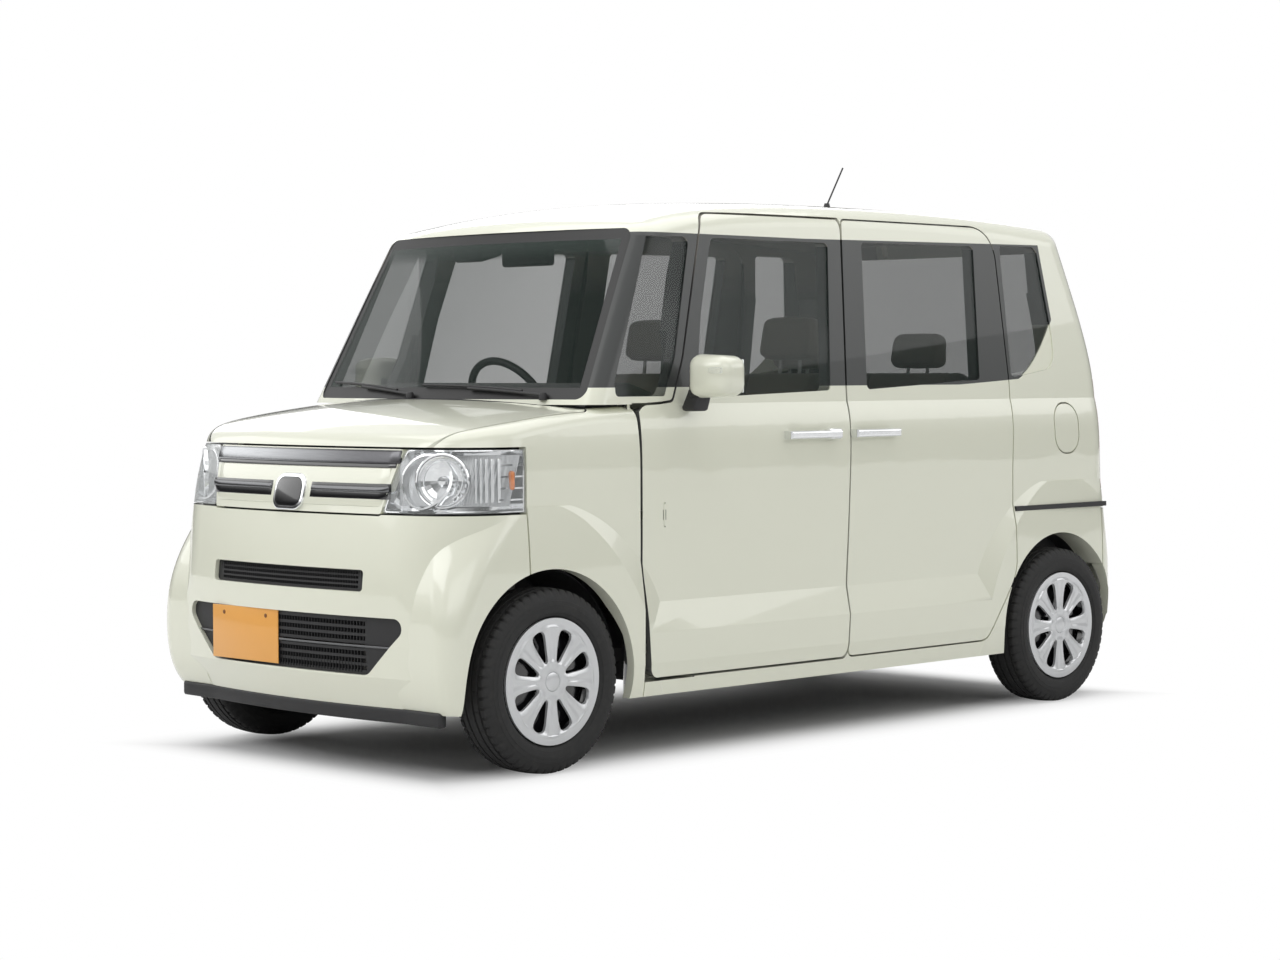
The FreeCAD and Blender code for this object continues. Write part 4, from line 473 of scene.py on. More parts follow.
def plate_paint(name):
    base = tuple(look().plate)
    made = Finish(name, base, 0.38, 0.0, Coat_Weight=0.4, Coat_Roughness=0.1)
    made.set("Base Color", made.mix(made.noise(18.0, 3.0) * 0.35, base, shade(base, 0.86)))
    made.bump(made.noise(700.0, 1.0), 0.04, 0.0003)
    return made


def amber_bulb(name):
    made = Finish(name, (0.85, 0.25, 0.02), 0.2, 0.0, Coat_Weight=1.0)
    made.set("Base Color", made.mix(made.noise(60.0, 2.0), (0.9, 0.27, 0.02), (0.75, 0.19, 0.015)))
    return made


MAKERS = {
    "body_paint": partial(painted, framed=True),
    "panel_paint": partial(painted, framed=False),
    "clear_glass": partial(glazed, tint=GLASS_TINT, density=0.22),
    "screen_glass": partial(glazed, tint=GLASS_TINT, density=0.17, bordered=True),
    "dark_glass": partial(glazed, tint=DARK_TINT, density=DARK_DENSITY),
    "chrome": polished((0.82, 0.83, 0.84), 0.06, 1.0, 0.05, 0.05, 40.0),
    "dark_chrome": polished((0.15, 0.152, 0.156), 0.16, 1.0, 0.12, 0.1, 60.0),
    "gloss_black": polished((0.006, 0.006, 0.007), 0.12, 0.0, 0.1, 0.06, 25.0, Coat_Weight=0.8,
                            Coat_Roughness=0.03),
    "plate_bolt": polished((0.20, 0.085, 0.03), 0.42, 0.4, 0.35, 0.2, 220.0),
    "mirror_face": polished((0.78, 0.8, 0.8), 0.01, 1.0, 0.01, 0.02, 5.0, 1.0),
    "floor_carpet": grained((0.03, 0.03, 0.031), (0.018, 0.018, 0.019), (0.06, 0.06, 0.058), 800.0, 0.98,
                            0.0, 0.6, 0.002),
    "underseal": grained((0.02, 0.02, 0.02), (0.012, 0.012, 0.012), (0.04, 0.04, 0.038), 160.0, 0.8,
                         0.0, 0.5, 0.0015),
    "cast_metal": grained((0.2, 0.2, 0.2), (0.12, 0.12, 0.12), (0.26, 0.26, 0.25), 240.0, 0.55,
                          0.8, 0.5, 0.0012),
}
MAKERS.update({make.__name__: make for make in (
    quarter_pane, lens_clear, lamp_red, satin_chrome, lamp_shell, wheel_silver, black_moulding, cabin_plastic,
    woven_cloth, bolster_cloth, tyre_rubber, bare_steel, plate_paint, amber_bulb)})


# Mesh helpers

def piece(name, mesh, finish_name, body, smooth=True, replaces=()):
    """A finished piece from a bmesh, riding on a body."""
    data = bpy.data.meshes.new(name)
    mesh.to_mesh(data)
    mesh.free()
    if smooth:
        data.shade_smooth()
        data.set_sharp_from_angle(angle=math.radians(38))
    made = bpy.data.objects.new(name, data)
    bpy.context.scene.collection.objects.link(made)
    data.materials.append(finish(finish_name))
    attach(made, body)
    if replaces:
        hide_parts(*replaces)
    return made


def sound(mesh):
    """Merge doubles and point every face outward."""
    bmesh.ops.remove_doubles(mesh, verts=mesh.verts, dist=1e-6)
    bmesh.ops.recalc_face_normals(mesh, faces=mesh.faces)
    return mesh


def spun(profile, steps=48, along="Y"):
    """A closed profile of (radius, along) points turned about an axis through the origin."""
    mesh = bmesh.new()
    points = [mesh.verts.new((radius, axial, 0)) for radius, axial in profile]
    edges = [mesh.edges.new((a, b)) for a, b in zip(points, points[1:] + points[:1])]
    bmesh.ops.spin(mesh, geom=points + edges, cent=(0, 0, 0), axis=(0, 1, 0), angle=math.tau, steps=steps,
                   use_merge=True)
    if along == "Z":
        bmesh.ops.rotate(mesh, verts=mesh.verts, matrix=Matrix.Rotation(math.pi / 2, 3, "X"))
    elif along == "X":
        bmesh.ops.rotate(mesh, verts=mesh.verts, matrix=Matrix.Rotation(-math.pi / 2, 3, "Z"))
    return sound(mesh)


def dome(profile, steps=48):
    """An open profile that starts on the axis, turned about Y."""
    mesh = bmesh.new()
    points = [mesh.verts.new((radius, axial, 0)) for radius, axial in profile]
    edges = [mesh.edges.new((a, b)) for a, b in zip(points, points[1:])]
    bmesh.ops.spin(mesh, geom=points + edges, cent=(0, 0, 0), axis=(0, 1, 0), angle=math.tau, steps=steps,
                   use_merge=True)
    return sound(mesh)


def rounded(mesh, edges, offset, segments):
    bmesh.ops.bevel(mesh, geom=edges, offset=offset, offset_type="OFFSET", segments=segments, profile=0.5,
                    affect="EDGES", material=-1)


def block(size):
    """A plain box about the origin."""
    mesh = bmesh.new()
    bmesh.ops.create_cube(mesh, size=1.0)
    bmesh.ops.scale(mesh, vec=size, verts=mesh.verts)
    return mesh


def slab(size, centre, radius, segments=3):
    """A box with rounded edges."""
    mesh = block(size)
    rounded(mesh, mesh.edges[:], radius, segments)
    bmesh.ops.translate(mesh, vec=centre, verts=mesh.verts)
    return mesh


def pipe(points, radius, sides=12):
    """A round bar along a line of points."""
    mesh = bmesh.new()
    loops = []
    for i, point in enumerate(points):
        way = (points[min(i + 1, len(points) - 1)] - points[max(i - 1, 0)]).normalized()
        ring = bmesh.ops.create_circle(mesh, cap_ends=False, segments=sides, radius=radius)["verts"]
        bmesh.ops.rotate(mesh, verts=ring, matrix=way.to_track_quat("Z", "X").to_matrix())
        bmesh.ops.translate(mesh, vec=point, verts=ring)
        loops.append(list({edge for vert in ring for edge in vert.link_edges}))
    for first, second in zip(loops, loops[1:]):
        bmesh.ops.bridge_loops(mesh, edges=first + second)
    for ends in (loops[0], loops[-1]):
        bmesh.ops.contextual_create(mesh, geom=ends)
    return sound(mesh)


def tablet(size, corner, edge):
    """A flat plate that faces ahead, with rounded corners and a softened rim."""
    mesh = block(size)
    deep = [item for item in mesh.edges if abs(item.verts[0].co.x - item.verts[1].co.x) > size[0] / 2]
    rounded(mesh, deep, corner, 8)
    rim = [item for item in mesh.edges if min(vert.co.x for vert in item.verts) > size[0] / 2 - 1e-5]
    rounded(mesh, rim, edge, 2)
    return mesh


def moved(mesh, vec):
    bmesh.ops.translate(mesh, vec=vec, verts=mesh.verts)
    return mesh


def turned(mesh, angle, axis, centre=(0, 0, 0)):
    bmesh.ops.rotate(mesh, cent=centre, verts=mesh.verts, matrix=Matrix.Rotation(angle, 3, axis))
    return mesh


def flipped(mesh):
    """The twin on the car's other side."""
    bmesh.ops.scale(mesh, vec=(1, -1, 1), verts=mesh.verts)
    bmesh.ops.reverse_faces(mesh, faces=mesh.faces)
    return mesh


def gathered(meshes):
    """Several meshes as one."""
    whole = bmesh.new()
    for mesh in meshes:
        data = bpy.data.meshes.new("part")
        mesh.to_mesh(data)
        mesh.free()
        whole.from_mesh(data)
        bpy.data.meshes.remove(data)
    return whole


def dress(node, finish_name):
    """Give a carried-over solid its finish."""
    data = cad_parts[node].data
    data.materials.clear()
    data.materials.append(finish(finish_name))


TREES = {}


def surface(node):
    """A search tree of a carried-over solid, made once."""
    if node not in TREES:
        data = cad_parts[node].data
        TREES[node] = BVHTree.FromPolygons([v.co[:] for v in data.vertices],
                                           [list(f.vertices) for f in data.polygons])
    return TREES[node]


def reach_of(nodes, y, z, way):
    """X of the outermost of some solids, ahead or behind, at or near a spot."""
    for lift in (0, 0.004, -0.004, 0.008, -0.008, 0.014, -0.014, 0.03, -0.03):
        start = Vector((3 * way, y, z + lift))
        hits = [surface(node).ray_cast(start, Vector((-way, 0, 0)))[0] for node in nodes]
        found = [hit.x * way for hit in hits if hit]
        if found:
            return max(found) * way
    return None


def front_of(nodes, y, z):
    return reach_of(nodes, y, z, 1)


def rear_of(nodes, y, z):
    return reach_of(nodes, y, z, -1)


def wrapped(mesh, nodes, out, columns, reach=front_of):
    """Bend a flat mesh, drawn about x = 0, onto the front or the rear of some solids."""
    cut = [edge for edge in mesh.edges if abs(edge.verts[0].co.y - edge.verts[1].co.y) > 0.05]
    bmesh.ops.subdivide_edges(mesh, edges=cut, cuts=columns, use_grid_fill=True)
    last = 0.0
    for vert in sorted(mesh.verts, key=lambda v: abs(v.co.y)):
        last = reach(nodes, vert.co.y, vert.co.z) or last
        vert.co.x += last + (-out if reach is rear_of else out)
    return mesh


def hub(end, side):
    low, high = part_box("tyre_%s_%s" % (end, side))
    return (Vector(low) + Vector(high)) / 2


NODE_FINISHES = {
    "body_paint": ["side_body_left", "side_body_right", "front_door_left", "front_door_right",
                   "sliding_door_left", "sliding_door_right", "roof_panel", "tailgate", "front_wings"],
    "panel_paint": ["rear_bumper", "bonnet", "front_bumper", "grille_panel", "fuel_lid"],
    "screen_glass": ["windscreen"],
    "clear_glass": ["front_door_glass_left", "front_door_glass_right"],
    "dark_glass": ["sliding_door_glass", "tailgate_glass"],
    "quarter_pane": ["quarter_glass"],
    "lens_clear": ["headlamp_lenses"],
    "lamp_red": ["tail_lamps"],
    "chrome": ["headlamp_units", "front_handle_left", "front_handle_right", "sliding_handles"],
    "black_moulding": ["slide_rails", "cowl_panel", "wheelhouse_liners", "antenna", "front_lip",
                       "intake_grilles"],
    "cabin_plastic": ["dashboard"],
    "floor_carpet": ["floor_pan"],
    "underseal": ["front_structure", "front_subframe", "rear_axle_beam", "fuel_tank"],
    "cast_metal": ["engine_block", "knuckle_left", "knuckle_right"],
    "bare_steel": ["exhaust"],
}


class WAGON_OT_finishes(bpy.types.Operator):
    """Give the carried-over solids their finishes"""
    bl_idname = "wagon.finishes"
    bl_label = "Panel finishes"

    def execute(self, context):
        for name, nodes in NODE_FINISHES.items():
            for node in nodes:
                dress(node, name)
        return {"FINISHED"}


# Tyres and wheels, drawn about the hub with the outer face toward +Y

TREAD_RADIUS = (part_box("tyre_front_left")[1].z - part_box("tyre_front_left")[0].z) / 2
WALL = (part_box("tyre_front_left")[1].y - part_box("tyre_front_left")[0].y) / 2
TREAD_ROWS = [0, 4, 9, 12.5, 13.5, 19.5, 20.5, 27, 34, 37, 38, 44, 45, 50, 55]
GROOVES = [(13, 20), (37.5, 44.5)]
# Shoulder slots and sipes, in millimetres from the tread's middle, and the radius they stop at
SLOT_ROWS = (44.9, 70)
SIPE_ROWS = (20.4, 37.2)
CUT_RADIUS = 0.262
PITCH_COLUMNS = 8


def tyre_profile(depth):
    """Outer bead over the wall and tread to the inner bead, then the inner face."""
    wall = [(0.2060, 0.0046), (0.2064, 0.0030), (0.2090, 0.0024), (0.2180, 0.0008), (0.2290, 0.0002),
            (0.2294, 0.0010), (0.2340, 0.0012), (0.2420, 0.0022), (0.2424, 0.0032), (0.2500, 0.0056),
            (0.2580, 0.0080), (0.2650, 0.0110), (0.2710, 0.0150), (0.2745, 0.0190)]
    half = [(0.1825, 0.0570), (0.1930, 0.0575), (0.1935, 0.0640), (0.1980, 0.0690)]
    half += [(radius, WALL - back) for radius, back in wall]
    tread = []
    for row in reversed(TREAD_ROWS):
        y = row / 1000
        sunk = any(low < row < high for low, high in GROOVES)
        tread.append((TREAD_RADIUS - 1.0 * y * y - (depth if sunk else 0), y))
    top = half + tread
    return top + [(radius, -y) for radius, y in reversed(top) if y > 1e-6]


def tyre_mesh(pitches, depth):
    """A tyre whose shoulder slots are staggered from side to side, with a sipe at every other pitch."""
    columns = PITCH_COLUMNS
    steps = pitches * columns
    mesh = spun(tyre_profile(depth), steps)
    step = math.tau / steps
    for vert in mesh.verts:
        y = abs(vert.co.y) * 1000
        radius = math.hypot(vert.co.x, vert.co.z)
        angle = math.atan2(vert.co.z, vert.co.x) % math.tau
        column = round(angle / step)
        if radius < CUT_RADIUS or y < 1:
            continue
        lag = 0 if vert.co.y > 0 else 3
        wide = SLOT_ROWS[0] < y < SLOT_ROWS[1] and (column + lag) % columns in (0, 1)
        sipe = SIPE_ROWS[0] < y < SIPE_ROWS[1] and (column + lag + 2) % (columns * 2) == 0
        if wide or sipe:
            scale = (radius - (depth * 0.8 if wide else depth * 0.35)) / radius
            vert.co.x *= scale
            vert.co.z *= scale
    return mesh


WINDOW_SHAPE = [(0.058, 0.0), (0.061, 0.0052), (0.066, 0.0080), (0.076, 0.0110), (0.090, 0.0146),
                (0.105, 0.0186), (0.120, 0.0222), (0.134, 0.0250), (0.145, 0.0258), (0.152, 0.0238),
                (0.1565, 0.0185), (0.159, 0.0100), (0.160, 0.0)]
COVER_RINGS = [0.0325, 0.036, 0.045, 0.054] + [radius for radius, half in WINDOW_SHAPE] + [
    0.164, 0.170, 0.175, 0.180, 0.186, 0.190]
SPOKE_COLUMNS = 5
WINDOW_COLUMNS = 3


def window_half(radius):
    """Half the width of the opening between two spokes."""
    for (r1, w1), (r2, w2) in zip(WINDOW_SHAPE, WINDOW_SHAPE[1:]):
        if r1 <= radius <= r2:
            return w1 + (w2 - w1) * (radius - r1) / (r2 - r1)
    return 0.0


def cover_depth(radius, across):
    """Height of the cover's face above its rim seat; across runs 0 to 1 from spoke to opening."""
    dish = 0.0075 - 5.2 * (0.19 - radius) * (radius - 0.02) * 0.12
    ridge = 0.0042 * (1 - across ** 2) if 0.05 < radius < 0.166 else 0.0
    fold = -0.0028 if across < 0.32 and 0.062 < radius < 0.16 else 0.0
    return dish + ridge + fold


def cover_mesh(spokes, face):
    """A wheel cover: a spun disc whose columns are drawn to the spokes and cleared between them."""
    columns = 2 * (SPOKE_COLUMNS + WINDOW_COLUMNS)
    mesh = bmesh.new()
    points = [mesh.verts.new((radius, 0, 0)) for radius in COVER_RINGS]
    edges = [mesh.edges.new((a, b)) for a, b in zip(points, points[1:])]
    bmesh.ops.spin(mesh, geom=points + edges, cent=(0, 0, 0), axis=(0, 1, 0), angle=math.tau,
                   steps=spokes * columns, use_merge=True)
    bmesh.ops.remove_doubles(mesh, verts=mesh.verts, dist=1e-6)
    sector = math.tau / spokes
    step = sector / columns
    cleared = {}
    for vert in mesh.verts:
        radius = math.hypot(vert.co.x, vert.co.z)
        angle = math.atan2(vert.co.z, vert.co.x)
        spoke = round((angle - math.pi / 2) / sector)
        column = round((angle - math.pi / 2 - spoke * sector) / step)
        half = sector / 2 - window_half(radius) / radius
        count = abs(column)
        if count <= SPOKE_COLUMNS:
            share = half * count / SPOKE_COLUMNS
            across = count / SPOKE_COLUMNS
        else:
            share = half + (sector / 2 - half) * (count - SPOKE_COLUMNS) / WINDOW_COLUMNS
            across = 1.0
        cleared[vert] = count > SPOKE_COLUMNS
        turn = math.pi / 2 + spoke * sector + math.copysign(share, column)
        vert.co = Vector((radius * math.cos(turn), face + cover_depth(radius, across),
                          radius * math.sin(turn)))
    low, high = WINDOW_SHAPE[0][0], WINDOW_SHAPE[-1][0]
    doomed = []
    for item in mesh.faces:
        middle = item.calc_center_median()
        radius = math.hypot(middle.x, middle.z)
        if low < radius < high and any(cleared[v] for v in item.verts):
            doomed.append(item)
    bmesh.ops.delete(mesh, geom=doomed, context="FACES")
    bmesh.ops.recalc_face_normals(mesh, faces=mesh.faces)
    if sum(item.normal.y for item in mesh.faces) < 0:
        bmesh.ops.reverse_faces(mesh, faces=mesh.faces)
    border = [edge for edge in mesh.edges if edge.is_boundary]
    grown = bmesh.ops.extrude_edge_only(mesh, edges=border)["geom"]
    deep = [item for item in grown if isinstance(item, bmesh.types.BMVert)]
    for vert in deep:
        radius = math.hypot(vert.co.x, vert.co.z)
        drawn = 1.0 if radius < 0.05 or radius > 0.185 else (1.04 if radius < 0.1 else 0.985)
        vert.co = Vector((vert.co.x * drawn, vert.co.y - 0.009, vert.co.z * drawn))
    bmesh.ops.recalc_face_normals(mesh, faces=mesh.faces)
    return mesh


def seated(mesh, end, side):
    """Set a wheel piece on its hub, facing out."""
    if SIDES[side] < 0:
        bmesh.ops.rotate(mesh, verts=mesh.verts, matrix=Matrix.Rotation(math.pi, 3, "Z"))
    return moved(mesh, hub(end, side))


class WAGON_OT_tyres(bpy.types.Operator):
    """Tyres with grooved and slotted treads"""
    bl_idname = "wagon.tyres"
    bl_label = "Tyres"

    def execute(self, context):
        sizes = look()
        for end, side in CORNERS:
            name = "%s_%s" % (end, side)
            mesh = seated(tyre_mesh(sizes.pitches, sizes.tread_depth), end, side)
            piece("tread_" + name, mesh, "tyre_rubber", "wheel_" + name,
                  replaces=["tyre_" + name])
        return {"FINISHED"}


RIM_PROFILE = [(0.190, -0.0625), (0.1905, -0.057), (0.182, -0.055), (0.178, -0.02), (0.168, 0.0),
               (0.168, 0.03), (0.180, 0.045), (0.182, 0.055), (0.1905, 0.057), (0.190, 0.0625),
               (0.180, 0.0625), (0.176, 0.050), (0.163, 0.032), (0.150, 0.034), (0.110, 0.044),
               (0.070, 0.040), (0.030, 0.040), (0.030, 0.036), (0.070, 0.036), (0.110, 0.040),
               (0.150, 0.030), (0.160, 0.026), (0.163, 0.0), (0.173, -0.02), (0.176, -0.055),
               (0.180, -0.0625)]
DISC_PROFILE = [(0.030, 0.034), (0.070, 0.034), (0.072, 0.013), (0.118, 0.013), (0.118, -0.004),
                (0.060, -0.004), (0.060, 0.026), (0.030, 0.026)]
# The middle of the wheel cover, its cap and the ring round it, drawn from the cover's rim seat
COVER_FACE = 0.0633
CAP_PROFILE = [(0.0, 0.0085), (0.012, 0.0083), (0.022, 0.0072), (0.0275, 0.0052), (0.0290, 0.0020),
               (0.0325, 0.0010), (0.0330, -0.004), (0.0, -0.004)]
RING_PROFILE = [(0.0285, 0.0030), (0.0300, 0.0058), (0.0335, 0.0058), (0.0352, 0.0030), (0.0335, 0.0),
                (0.0300, 0.0)]
NUTS = 4
NUT_CIRCLE = 0.05


class WAGON_OT_wheels(bpy.types.Operator):
    """Spoked wheel covers with the rim, disc and nuts behind them"""
    bl_idname = "wagon.wheels"
    bl_label = "Wheels"

    def execute(self, context):
        for end, side in CORNERS:
            name, body = "%s_%s" % (end, side), "wheel_%s_%s" % (end, side)
            cover = seated(cover_mesh(look().spokes, COVER_FACE), end, side)
            piece("cover_" + name, cover, "wheel_silver", body, replaces=["wheel_" + name])
            cap = dome([(radius, COVER_FACE + rise) for radius, rise in CAP_PROFILE])
            ring = spun([(radius, COVER_FACE + rise) for radius, rise in RING_PROFILE])
            for kind, mesh, finish_name, slot in (
                    ("cap_", gathered([cap, ring]), "wheel_silver", "wheel_silver"),
                    ("rim_", spun(RIM_PROFILE, 72), "gloss_black", "black_plastic"),
                    ("disc_", spun(DISC_PROFILE, 72), "bare_steel", "wheel_silver")):
                piece(kind + name, seated(mesh, end, side), finish_name, body)
            nuts = []
            for i in range(NUTS):
                nut = bmesh.new()
                bmesh.ops.create_cone(nut, cap_ends=True, segments=6, radius1=0.011, radius2=0.009,
                                      depth=0.016)
                turned(nut, -math.pi / 2, "X")
                angle = math.tau * (i + 0.5) / NUTS
                moved(nut, (NUT_CIRCLE * math.cos(angle), 0.047, NUT_CIRCLE * math.sin(angle)))
                nuts.append(nut)
            piece("nuts_" + name, seated(gathered(nuts), end, side), "chrome", body, False)
        return {"FINISHED"}


LAMP_Y, LAMP_Z = 0.592, 0.880
BOWL_DEPTH = 0.034
LENS = ["headlamp_lenses"]


def lamp_frame(sign):
    """The lens point ahead of the reflector, and the turn that faces a lamp part along the lens there."""
    middle = Vector((front_of(LENS, sign * LAMP_Y, LAMP_Z), sign * LAMP_Y, LAMP_Z))
    inner = front_of(LENS, sign * (LAMP_Y - 0.05), LAMP_Z)
    outer = front_of(LENS, sign * (LAMP_Y + 0.05), LAMP_Z)
    return middle, sign * math.atan2(inner - outer, 0.10)


def lamp_part(mesh, sign, depth):
    """Set a part drawn about +Y behind the lens, facing out of it."""
    middle, turn = lamp_frame(sign)
    turned(mesh, turn - math.pi / 2, "Z")
    way = Vector((math.cos(turn), math.sin(turn), 0))
    return moved(mesh, middle - way * depth)


class WAGON_OT_headlamps(bpy.types.Operator):
    """Reflectors, bulb caps, rings and amber markers inside the headlamps"""
    bl_idname = "wagon.headlamps"
    bl_label = "Headlamps"

    def execute(self, context):
        for side, sign in SIDES.items():
            back = slab((0.003, 0.262, 0.150), (0, 0, LAMP_Z), 0.001, 1)
            for vert in back.verts:
                vert.co.y += sign * 0.565
            back = wrapped(back, LENS, -0.040, 18)
            piece("lamp_back_" + side, back, "lamp_shell", "car_body")
            bowl = dome([(0.0, 0.0), (0.020, 0.0004), (0.040, 0.0026), (0.056, 0.0066), (0.068, 0.0120),
                         (0.0745, 0.0170)], 24)
            bmesh.ops.solidify(bowl, geom=bowl.faces[:], thickness=0.0006)
            piece("lamp_bowl_" + side, lamp_part(bowl, sign, BOWL_DEPTH), "chrome", "car_body",
                  False)
            cap = spun([(0.0002, 0.0), (0.013, 0.0), (0.015, 0.003), (0.015, 0.016), (0.011, 0.020),
                        (0.0002, 0.021)], 32)
            ring = spun([(0.0745, 0.014), (0.0760, 0.0200), (0.0800, 0.0210), (0.0825, 0.0180),
                         (0.0825, 0.006), (0.0745, 0.006)], 72)
            fluted = spun([(0.0560, 0.0070), (0.0575, 0.0105), (0.0600, 0.0105), (0.0615, 0.0090)], 60)
            piece("lamp_rings_" + side, lamp_part(gathered([cap, ring, fluted]), sign, BOWL_DEPTH), "chrome",
                  "car_body")
            marker = slab((0.020, 0.020, 0.058), (0, 0, LAMP_Z), 0.0085, 4)
            x = front_of(LENS, sign * 0.698, LAMP_Z) - 0.030
            piece("lamp_marker_" + side, moved(marker, (x, sign * 0.690, 0)), "amber_bulb", "car_body")
            ribs = []
            for i in range(5):
                y = 0.655 + 0.008 * i
                x = front_of(LENS, sign * y, LAMP_Z) - 0.026
                ribs.append(slab((0.012, 0.002, 0.130), (x, sign * y, LAMP_Z), 0.0008, 1))
            piece("lamp_ribs_" + side, gathered(ribs), "chrome", "car_body", False)
        return {"FINISHED"}


GRILLE = ["grille_panel"]
FACE_FOOT = 0.803
FACE_HEAD = 0.916


def grille_skin(nodes, y, z):
    """X of the grille panel, read above and below its slots."""
    low, high = front_of(nodes, y, FACE_FOOT), front_of(nodes, y, FACE_HEAD)
    if low is None or high is None:
        return None
    return low + (high - low) * (z - FACE_FOOT) / (FACE_HEAD - FACE_FOOT)


class WAGON_OT_grille(bpy.types.Operator):
    """Chrome bars in black slots, the face round them and the blank badge place; the slots' black is partly
    painted shade under the bars, and a black sheet behind stands for the shade inside the nose
    """
    bl_idname = "wagon.grille"
    bl_label = "Grille"

    def execute(self, context):
        top = slab((0.012, 0.884, 0.040), (0, 0, 0.949), 0.005)
        wrapped(top, ["grille_panel", "headlamp_lenses"], 0.0, 24)
        piece("grille_top_bar", top, "satin_chrome", "car_body", replaces=["grille_trim"])
        line = wrapped(slab((0.008, 0.866, 0.012), (0, 0, 0.923), 0.002), GRILLE, 0.0, 24)
        piece("grille_line", line, "gloss_black", "car_body")
        face = slab((0.006, 0.830, FACE_HEAD - FACE_FOOT), (0, 0, (FACE_HEAD + FACE_FOOT) / 2), 0.002, 2)
        wrapped(face, GRILLE, 0.0005, 24, grille_skin)
        piece("grille_face", face, "panel_paint", "car_body")
        slots, bars = [], []
        for sign in (1, -1):
            # Painted shade: each black strip stands for a slot's dark opening and the shade under its bar.
            slot = slab((0.004, 0.336, 0.046), (0, sign * 0.262, 0.847), 0.0015, 2)
            slots.append(wrapped(slot, GRILLE, 0.0022, 14, grille_skin))
            bar = slab((0.012, 0.330, 0.019), (0, sign * 0.262, 0.854), 0.005)
            bars.append(wrapped(bar, GRILLE, 0.0035, 14, grille_skin))
        piece("grille_slot_shade", gathered(slots), "gloss_black", "car_body")
        piece("grille_bars", gathered(bars), "dark_chrome", "car_body")
        # Painted shade: a black sheet behind the grille panel stands for the dark hollow inside the nose.
        back = slab((0.004, 0.80, 0.14), (1.585, 0, 0.865), 0.001, 1)
        piece("grille_back_shade", back, "gloss_black", "car_body")
        plates = [("badge_frame", (0.014, 0.146, 0.112), 0.040, 0.004, 0.004, "chrome", "bright_trim"),
                  ("badge_blank", (0.008, 0.124, 0.090), 0.032, 0.002, 0.009, "gloss_black", "black_plastic")]
        for name, size, corner, edge, out, finish_name, slot in plates:
            plate = moved(tablet(size, corner, edge), (0, 0, 0.8385))
            for vert in plate.verts:
                vert.co.x += grille_skin(GRILLE, 0, vert.co.z) + out
            piece(name, plate, finish_name, "car_body")
        return {"FINISHED"}


def fin_row(half, low, high, pitch, depth):
    """A row of thin upright fins across an opening."""
    fins = []
    count = int(half / pitch)
    for i in range(-count, count + 1):
        y = i * pitch
        x = front_of(["intake_grilles"], y, (low + high) / 2)
        fin = slab((depth, 0.0024, high - low), (x - depth / 2, y, (low + high) / 2), 0.0006, 1)
        fins.append(fin)
    return fins


def bumper_foot(nodes, y, z):
    return front_of(nodes, y, 0.226)


class WAGON_OT_intakes(bpy.types.Operator):
    """Fins, bright line and registration plate of the front bumper"""
    bl_idname = "wagon.intakes"
    bl_label = "Front intakes"

    def execute(self, context):
        upper = fin_row(0.345, 0.556, 0.612, 0.011, 0.010)
        lower = fin_row(0.345, 0.312, 0.382, 0.013, 0.010) + fin_row(0.365, 0.398, 0.470, 0.013, 0.010)
        piece("intake_fins", gathered(upper + lower), "black_moulding", "car_body", False)
        low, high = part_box("number_plate")
        lines = []
        for start, end in ((-0.51, low.y - 0.006), (high.y + 0.006, 0.51)):
            line = slab((0.006, end - start, 0.007), (0, (start + end) / 2, 0.390), 0.002)
            lines.append(wrapped(line, ["intake_grilles"], 0.004, 16))
        piece("intake_lines", gathered(lines), "dark_chrome", "car_body")
        lip = slab((0.030, 1.26, 0.046), (0, 0, 0.186), 0.009, 3)
        wrapped(lip, ["front_bumper"], -0.021, 30, bumper_foot)
        piece("lip", lip, "black_moulding", "car_body", replaces=["front_lip"])
        middle = (low + high) / 2
        plate = slab((0.0028, 0.329, 0.164), middle, 0.0012, 2)
        frame_edge = slab((0.0016, 0.329, 0.164), middle - Vector((0.0014, 0, 0)), 0.0006, 1)
        piece("front_plate", gathered([plate, frame_edge]), "plate_paint", "car_body",
              replaces=["number_plate"])
        bolts = []
        for sign in (1, -1):
            bolt = spun([(0.0002, 0.0018), (0.0045, 0.0016), (0.0062, 0.0006), (0.0064, -0.0006),
                         (0.0002, -0.0006)], 20)
            turned(bolt, -math.pi / 2, "Z")
            bolts.append(moved(bolt, (high.x + 0.0004, middle.y + sign * 0.105, high.z - 0.022)))
        piece("front_plate_bolts", gathered(bolts), "plate_bolt", "car_body")
        return {"FINISHED"}


# Door mirror: the cap's size along X, Y and Z, its opening behind its middle, and its foot's size
CAP_SIZE = (0.130, 0.165, 0.138)
CAP_OPENING = 0.050
FOOT_SIZE = (0.066, 0.064, 0.070)


